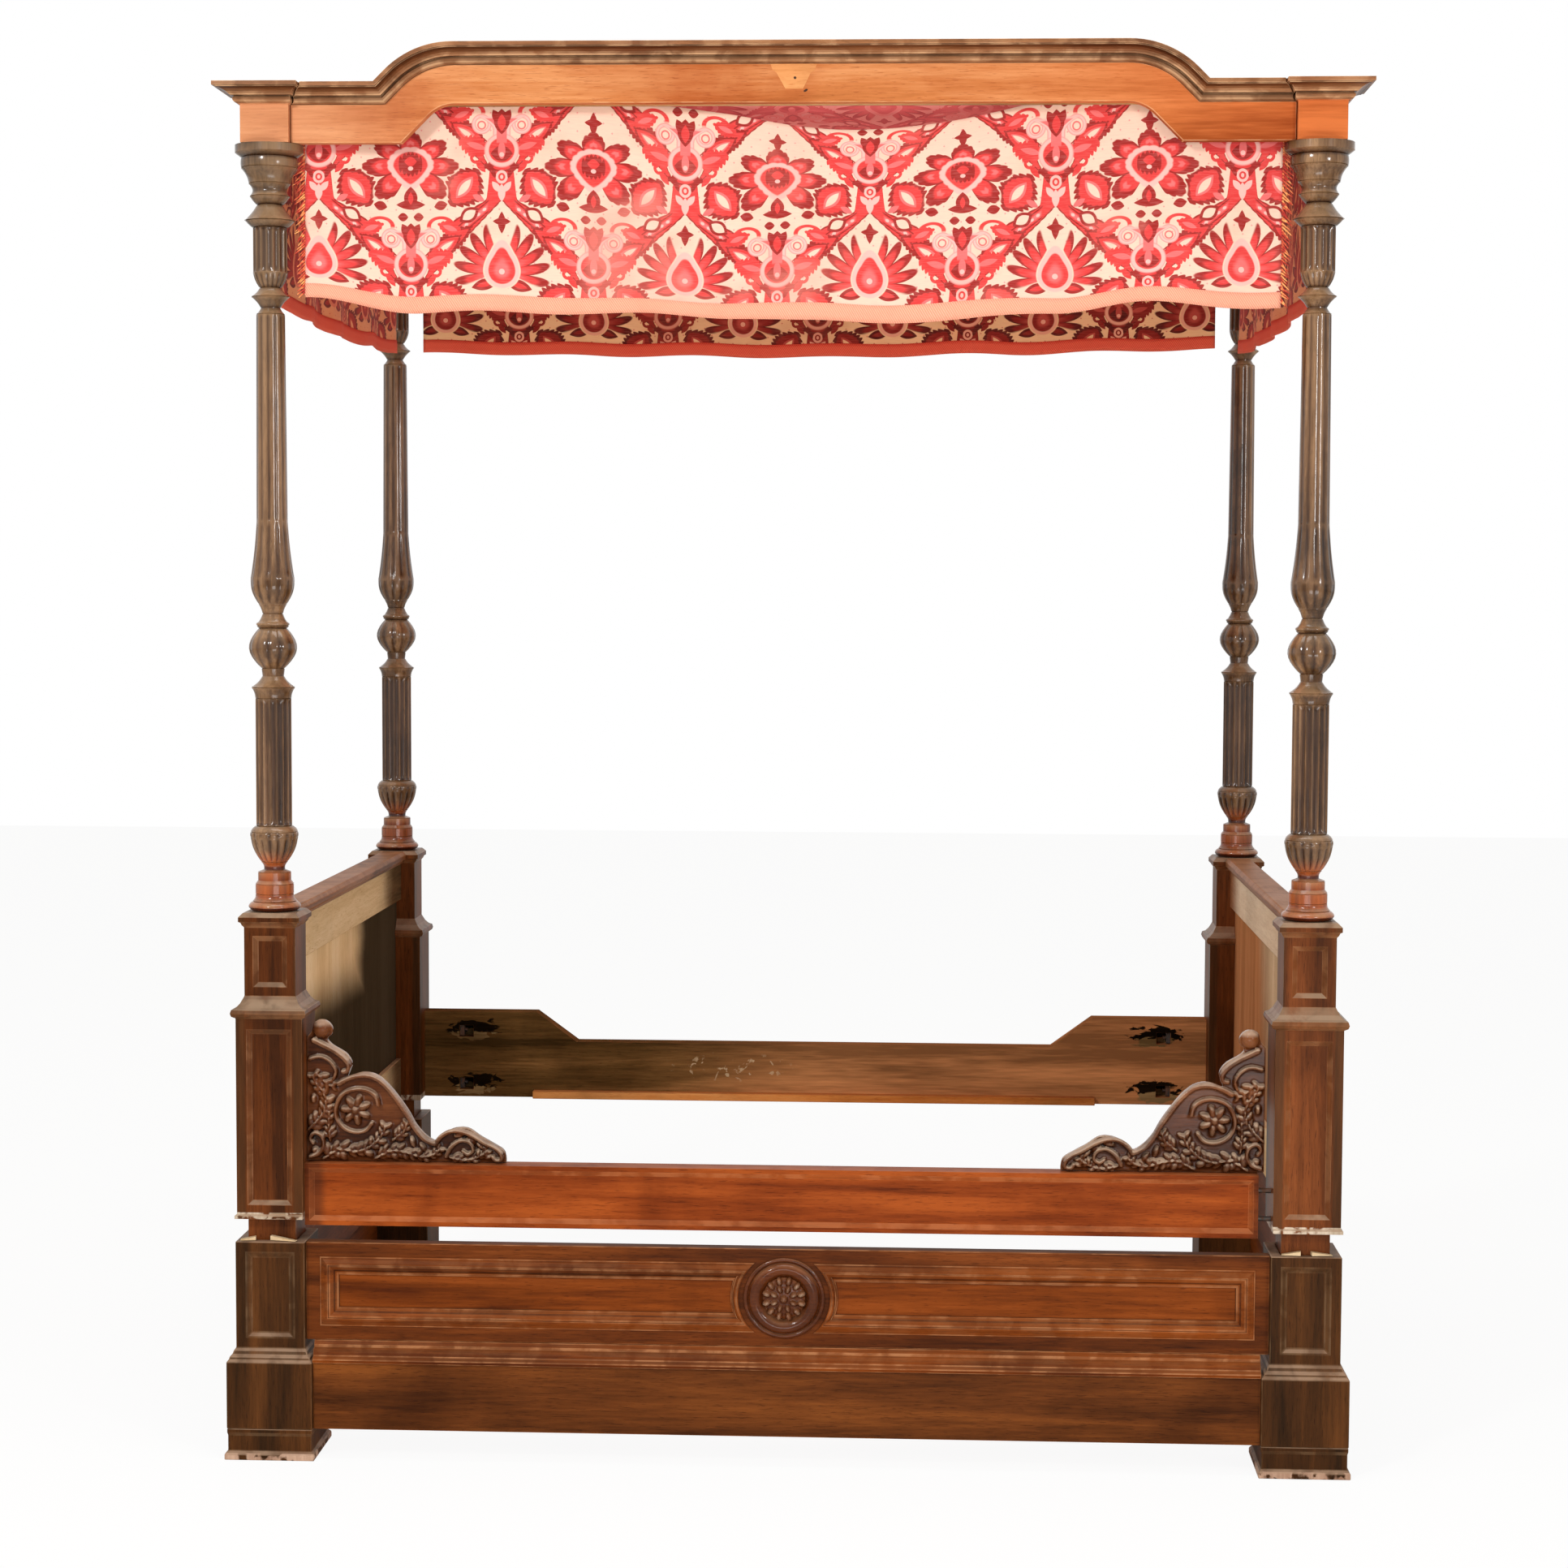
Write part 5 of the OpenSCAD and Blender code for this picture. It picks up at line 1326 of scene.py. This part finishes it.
def flower(dye):
    """Eight pointed petals round a heart, on a stem with two leaves."""
    x, y = dye.x, dye.y
    above = y.maths("GREATER_THAN", y, 0.0)
    tall = y * (1.1 + 0.32 * above)
    radius = (x * x + tall * tall) ** 0.5
    angle = x.maths("ARCTAN2", x, tall)
    gap = angle.maths("PINGPONG", angle, pi / 8) * (8 / pi)
    petal = radius / (93 - 15 * gap ** 0.6 - 24 * gap ** 3.0 - 40 * angle.over(2.68, 2.80))
    dye.shape(cream, petal, 1.08, 0.03)
    dye.shape(deep, petal - wave(angle * per_radian, 7.5) * 0.05, soft=0.02)
    dye.shape(crimson, petal, 0.82)
    dye.lay(deep, gap.over(0.86, 0.95) * petal.under(0.94, 1.0))
    dye.lay(pink, abs(petal - 0.68).under(0.03, 0.08) * gap.under(0.2, 0.4))
    power = 1.3 + 0.7 * above
    heart = (abs(x / 43) ** power + abs(y / (45 - 11 * above)) ** power) ** (1 / power)
    dye.shape(pale, heart - wave(angle * per_radian, 22.0) * 0.05)
    dye.shape(crimson, heart, 0.77)
    dye.oval(deep, 0, 3, 19, 17, 0.35, 8.0)
    dye.leaf(crimson, 0, 8, 12, 9)
    dye.oval(pale, 0, -5, 5.0, 4.0)
    dye.leaf(deep, 0, -60, 21, 13, pi / 2)
    dye.leaf(deep, 0, -73, 28, 9)
    dye.leaf(crimson, 0, -61, 12, 5, pi / 2)
    cross(dye, 80)


def palmette(dye):
    """An onion-shaped drop in a fan of flames."""
    x, y = dye.x, dye.y
    far = (x * x + y * y) ** 0.5
    lean = x.maths("ARCTAN2", x, y)
    flame = wave(lean * per_radian + far * 0.14, 21.0)
    fan = far / (52 + 40 * flame ** 0.8)
    spread = lean.over(0.28, 0.34) * lean.under(1.9, 2.0)
    dye.lay(deep, fan.under(0.97, 1.03) * spread)
    dye.lay(crimson, fan.under(0.72, 0.86) * spread)
    dye.lay(pink, fan.under(0.35, 0.66) * spread * 0.6)
    dye.leaf(deep, 32, -27, 26, 11, -0.25)
    dye.leaf(crimson, 32, -27, 17, 5, -0.25)
    up = far.maths("MAXIMUM", y / (far + 1.0), 0.0)
    drop = far / (1 + 0.3 * up ** 3 + 0.62 * up ** 16)
    dye.shape(cream, drop, 35.5, 1.0)
    dye.shape(pale, drop, 33.0, 1.0)
    dye.shape(crimson, drop, 25.5, 1.2)
    dye.shape(pink, drop, 14.0, 5.0)
    dye.oval(pale, 0, -2, 5.5, 5.5)
    cross(dye, 91)


def damask(paint, u, v, flower_x, flower_z, yarns):
    """The woven pattern at a place on the cloth, as a colour. Places are in metres."""
    u, v = (u - flower_x) * 1000, (v - flower_z) * 1000
    dye = Dye(paint, yarns)
    dye.lay(blush, wave(u + v, 33.0).over(0.97, 0.99) * wave(u - v, 33.0).over(0.97, 0.99))
    # Ribbons and vases stand in two columns, the second half a repeat higher
    x = u.maths("PINGPONG", u, half_w)
    second = x.maths("GREATER_THAN", x, half_w / 2)
    dye.at(u.maths("PINGPONG", u, half_w / 2), wrapped(v + 235.0 - second * half_h, -20.0))
    for motif in (ribbons, waist_leaves, vase, meeting):
        motif(dye)
    flower(dye.at(x, wrapped(v, 0.0)))
    palmette(dye.at(half_w - x, wrapped(v + 198.5, 0.0)))
    return dye.woven


def cloth(name, flower_x, flower_z, yarns, faded=(240, 140, 124), fade=0.5, painted_light_glow=0.0):
    """The damask with its weave, soil and fades. Its emission is painted light that brightens cloth in the shade of
    the tester.
    """
    paint = Paint(name)
    place = paint.node("UVMap")
    u, v, _ = place.parts()
    base = damask(paint, u, v, flower_x, flower_z, yarns)
    # Light has taken colour out of the reds in patches
    base = paint.blend(paint.noise(place, 4.2, 3.0, 0.6).over(0.50, 0.72) * fade, base, faded)
    base = paint.blend(paint.noise(place, 9.0, 5.0).over(0.5, 0.8) * 0.3, base, (236, 190, 166), "MULTIPLY")
    weave = paint.node("TexWave", {"bands_direction": "X"}, {"Vector": place, "Scale": 180.0, "Distortion": 0.4})
    slubs = paint.noise(paint.stretched(place, (40, 500, 1)), 1.0, 3.0)
    base = paint.blend(slubs.over(0.4, 0.75) * 0.18, base, yarns[2])
    return paint.finish(Base_Color=base, Roughness=0.86, Normal=paint.bump(0.3, 0.0006, weave * 0.5 + slubs),
                        Emission_Color=yarns[3], Emission_Strength=painted_light_glow, Sheen_Weight=0.1, Specular_IOR_Level=0.2)


# Yarns from the ground to the darkest: cream, pale, blush, pink, crimson, deep
front_yarns = [(234, 196, 174), (236, 178, 168), (232, 150, 144), (228, 106, 104), (212, 58, 56), (150, 34, 30)]
# The rear valance's yarns are a darker copy of the same damask, as painted shade on its inner face under the tester.
shaded_inner_yarns = [(240, 200, 146), (230, 170, 136), (208, 124, 98), (180, 72, 58), (132, 30, 22), (84, 18, 12)]
side_yarns = [(236, 168, 112), (226, 130, 92), (210, 92, 66), (190, 60, 42), (166, 40, 26), (112, 24, 16)]
# The ceiling's yarns are brightened, and the ceiling cloth glows a little, as painted light under the tester.
lit_ceiling_yarns = [(250, 150, 140), (248, 132, 126), (244, 116, 112), (236, 96, 96), (226, 78, 80), (196, 50, 52)]
front_damask = cloth("front_damask", -0.024, 2.478, front_yarns)
rear_damask = cloth("rear_damask", 0.003, 2.482, shaded_inner_yarns, (150, 60, 44), 0.3)
side_damask = cloth("side_damask", 0.05, 2.490, side_yarns, (206, 92, 62), 0.3)
ceiling_damask = cloth("ceiling_damask", 0.0, 0.0, lit_ceiling_yarns, (244, 126, 116), 0.5, painted_light_glow=0.12)

# %% [markdown]
# ## Hanging the valances
# A valance is a straight strip of cloth, tacked along its top to the laths and edged with
# braid. It hangs in slow folds that grow towards the hem. Between the tacks its top puckers
# a little, and right of the middle the front one has lost its tacks and sags. The strip is
# a fine grid, and every point of it is placed by its share along and its share down.

# %% Cloth grids
cloth_foot, cloth_top, valance_drop, cloth_thickness = 2.2033, 2.6033, 0.4, 0.0012
front_hem = [(-0.925, 25), (-0.70, 0), (-0.42, -1), (-0.11, -9), (0.04, -18), (0.27, -18), (0.50, 0),
             (0.68, 18), (0.925, 6)]
rear_hem = [(-0.925, 22), (-0.45, 16), (0, 13), (0.45, 21), (0.925, 32)]
side_hem = [(-0.605, 12), (0, 4), (0.605, 16)]


def read_off(table, s):
    """The value between two pairs of a table, eased so that it has no corners."""
    for (a, low), (b, high) in zip(table, table[1:]):
        if s <= b:
            f = max(0, (s - a) / (b - a))
            return low + (high - low) * f * f * (3 - 2 * f)
    return table[-1][1]


def hem_height(s, table):
    """Where the hem hangs at a place along the valance: the slope of its table and small waves."""
    return cloth_foot + (read_off(table, s) + 3 * sin(2 * pi * s / 0.31 + 0.87)) / 1000


# How far the front valance hangs down where its tacks are lost: at its top, and a third of the way down
top_sag = [(-0.36, 0), (-0.23, 15), (-0.10, 33), (0.0, 52), (0.10, 62), (0.20, 58), (0.30, 46), (0.38, 30),
           (0.50, 0)]
middle_sag = [(-0.45, 0), (-0.33, 10), (-0.20, 29), (-0.02, 26), (0.15, 35), (0.33, 16), (0.50, 12), (0.66, 0)]


def sag(s, table):
    """A slope read off a table, with its corners rounded by a mean of three places."""
    level = 0
    for place in (s - 0.03, s, s + 0.03):
        for (a, low), (b, high) in zip(table, table[1:]):
            if a <= place < b:
                level += (low + (high - low) * (place - a) / (b - a)) / 3000
    return level


def swing(s, v, seed):
    """How far a point of a valance swings out of its plane."""
    folds = 7 * v * sin(2 * pi * s / 0.33) + 2.8 * v * sin(2 * pi * s / 0.2302 + 0.7)
    creases = 3.2 * noise.noise(Vector((s * 9 + seed, v * 1.6, seed)))
    creases += 1.6 * noise.noise(Vector((s * 26 + seed, v * 3.5, 4.1)))
    puckers = 2.2 * sin(2 * pi * s / 0.105) * max(0, 1 - v * 3.2) ** 1.5
    return (folds + creases * min(1, 0.3 + v) + puckers * min(1, v * 14)) / 1000


def grid(columns, rows, place, pattern):
    """A sheet as a grid. place and pattern take shares from 0 to 1 and give a point and a UV."""
    bm = bmesh.new()
    map_uv = bm.loops.layers.uv.new("UVMap")
    bmesh.ops.create_grid(bm, x_segments=columns, y_segments=rows, size=1, calc_uvs=False)
    for face in bm.faces:
        face.smooth = True
        for loop in face.loops:
            loop[map_uv].uv = pattern((loop.vert.co.x + 1) / 2, (loop.vert.co.y + 1) / 2)
    for vert in bm.verts:
        vert.co = place((vert.co.x + 1) / 2, (vert.co.y + 1) / 2)
    return bm


def thicken(made):
    """Gives a sheet the thickness of the cloth."""
    shell = made.modifiers.new("thickness", "SOLIDIFY")
    shell.thickness = cloth_thickness
    shell.offset = 0
    return made


def valance_point(half, hem, drooping, seed):
    """The place of a point on a valance that runs along X at y = 0, from its two shares."""
    knee = 0.68

    def place(a, b, lift=0.0):
        s = -half + 2 * half * a
        foot = hem_height(s, hem) - cloth_foot
        top = -sag(s, top_sag) if drooping else 0
        middle = -sag(s, middle_sag) if drooping else foot * (1 - knee)
        # A smooth curve through the shifts of the hem, of the knee and of the top
        shift = (foot * (b - knee) * (b - 1) / knee - middle * b * (b - 1) / (knee * (1 - knee))
                 + top * b * (b - knee) / (1 - knee))
        belly = 0.08 * top * sin(pi * b)
        return Vector((s, -swing(s, 1 - b, seed) + belly - lift, cloth_foot + valance_drop * b + shift))
    return place


# %% [markdown]
# Braid hides the raw lower edge. It is a flat woven band 30 mm deep, so it is its own
# strip, laid on both faces of the hem, with a fine ribbed weave. The same band in a
# stronger orange edges the other three valances.

# %% Braid


def braid(name, base, rib):
    """A ribbed weave with soil in it."""
    paint = Paint(name)
    place = paint.node("UVMap")
    x, y, _ = place.parts()
    ribs = x.maths("SINE", x * 1400 + y * 900)
    tone = paint.blend(ribs.over(-0.4, 0.8), rib, base)
    tone = paint.blend(paint.noise(place, 9.0, 4.0).over(0.45, 0.75) * 0.35, tone, rib)
    return paint.finish(Base_Color=tone, Roughness=0.9, Normal=paint.bump(0.5, 0.0008, ribs))


pale_braid = braid("pale_braid", (254, 178, 148), (236, 146, 118))
orange_braid = braid("orange_braid", (246, 112, 80), (222, 84, 58))
braid_depth, braid_lift = 0.030, 0.0014
long_half, short_half = 0.923, 0.603


def hung(name, half, hem, drooping, seed, damask_paint, braid_paint, into_place, columns, rows):
    """A valance and its braid on both faces."""
    point = valance_point(half, hem, drooping, seed)
    bm = grid(columns, rows, lambda a, b: into_place @ point(a, b),
              lambda a, b: (-half + 2 * half * a, cloth_foot + valance_drop * b))
    sheet = thicken(piece(name + "_dressed", bm, "tester", "valance_cloth", [name], damask_paint))
    edging = []
    share = braid_depth / valance_drop
    for side, lift in (("outer", braid_lift), ("inner", -braid_lift)):
        bm = grid(columns, 3,
                  lambda a, b: into_place @ (point(a, b * share, lift) - Vector((0, 0, 0.001 * (1 - b)))),
                  lambda a, b: (-half + 2 * half * a, braid_depth * b))
        band = piece(f"{name}_{side}_braid", bm, "tester", "valance_cloth", material=braid_paint)
        edging.append(thicken(band))
    return sheet, edging


def flat_size(half, hem):
    """The width of a valance laid flat, and its drop as a mean over its hem."""
    heights = [hem_height(-half + 2 * half * k / 40, hem) for k in range(41)]
    return 2 * half, cloth_top - sum(heights) / 41


front_place = Matrix.Translation((0, -0.662, 0))
rear_place = Matrix.Translation((0, 0.662, 0)) @ Matrix.Diagonal((1, -1, 1, 1))
quarter = Matrix.Rotation(pi / 2, 4, "Z")
left_place = Matrix.Translation((-0.982, 0, 0)) @ quarter @ Matrix.Diagonal((1, -1, 1, 1))
right_place = Matrix.Translation((0.982, 0, 0)) @ quarter
hangings = [
    ("front_valance", long_half, front_hem, True, 1.0, front_damask, pale_braid, front_place, 260, 44),
    ("rear_valance", long_half, rear_hem, False, 7.0, rear_damask, orange_braid, rear_place, 220, 30),
    ("left_valance", short_half, side_hem, False, 13.0, side_damask, orange_braid, left_place, 140, 30),
    ("right_valance", short_half, side_hem, False, 19.0, side_damask, orange_braid, right_place, 140, 30),
]
for name, half, hem, *how in hangings:
    sheet, edging = hung(name, half, hem, *how)
    measured = bmesh.new()
    measured.from_mesh(sheet.data)
    area = sum(face.calc_area() for face in measured.faces)
    measured.free()
    width, drop = flat_size(half, hem)
    print(name, "width", round(width, 3), "drop", round(drop, 3), "area", round(area, 4))
    round(area / width, 3)
    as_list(edging)

# %% [markdown]
# The upright edges of the front valance are raw. Their threads have frayed into red and
# gold strands, which lean out and down towards the posts. Each strand is a thin cone with
# five sides. There are sixty a side, and noise turns every one its own way.

# %% Frayed edges
strand_paint = Paint("frayed_yarn")
strand_tone = strand_paint.noise(strand_paint.node("TexCoord", out="Object"), 90.0, 2.0)
strand_colour = strand_paint.ramp(strand_tone, (0.40, (176, 44, 34)), (0.52, (216, 92, 58)), (0.64, (240, 166, 98)))
strand_paint.finish(Base_Color=strand_colour, Roughness=0.9)
front_point = valance_point(long_half, front_hem, True, 1.0)
strands = 60


def wild(k, stretch, seed, side):
    """A number from about -1 to 1 that is another for every strand."""
    return noise.noise(Vector((k * stretch, seed, side)))


bm = bmesh.new()
for side in (-1, 1):
    for k in range(strands):
        share = 0.03 + 0.94 * (k + 0.5 * noise.noise(Vector((k * 1.7, side, 0)))) / strands
        root = front_place @ front_point(0.0 if side < 0 else 1.0, share)
        length = 0.017 + 0.013 * share + 0.010 * wild(k, 0.9, 3.0, side)
        slant = pi / 2 + 0.75 + 0.55 * wild(k, 1.3, 5.0, side)
        lean = Matrix.Rotation(0.5 * wild(k, 2.1, 9.0, side), 4, "Z")
        turn = Matrix.Translation(root) @ lean @ Matrix.Rotation(side * slant, 4, "Y")
        bmesh.ops.create_cone(bm, cap_ends=True, segments=5, radius1=0.0021, radius2=0.0008, depth=length,
                              matrix=turn @ Matrix.Translation((0, 0, length / 2)))
piece("front_valance_fringe", bm, "tester", "valance_cloth", material=strand_paint.material)

# %% [markdown]
# ## The ceiling cloth
# The tester is lined with a sheet that is tacked to the tops of the laths and sags in the
# middle. It is cut round the crowns of the corner blocks. A grid with its four corners
# taken out is let down by the sag, and noise lays shallow creases in it.

# %% Ceiling
ceiling_x, ceiling_y, notch_x, notch_y = 0.9807, 0.6607, 0.914, 0.594
lath_top, ceiling_sag = 2.5973, 0.060


def ceiling_point(a, b):
    """The place of a point on the ceiling cloth, from its two shares."""
    x, y = ceiling_x * (2 * a - 1), ceiling_y * (2 * b - 1)
    drop = ceiling_sag * (1 - (x / ceiling_x) ** 2) * (1 - (y / ceiling_y) ** 2)
    crease = 0.004 * noise.noise(Vector((x * 4, y * 4, 2.5))) * min(1, drop / 0.012)
    return Vector((x, y, lath_top - drop + crease))


bm = grid(110, 76, ceiling_point, lambda a, b: (ceiling_x * (2 * a - 1), ceiling_y * (2 * b - 1)))
corner_faces = [face for face in bm.faces
                if abs(face.calc_center_median().x) > notch_x and abs(face.calc_center_median().y) > notch_y]
bmesh.ops.delete(bm, geom=corner_faces, context="FACES")
ceiling_area = sum(face.calc_area() for face in bm.faces)
ceiling = piece("ceiling_cloth_dressed", bm, "tester", "ceiling_cloth", ["ceiling_cloth"], ceiling_damask)
thicken(ceiling)
print("ceiling area", round(ceiling_area, 4))
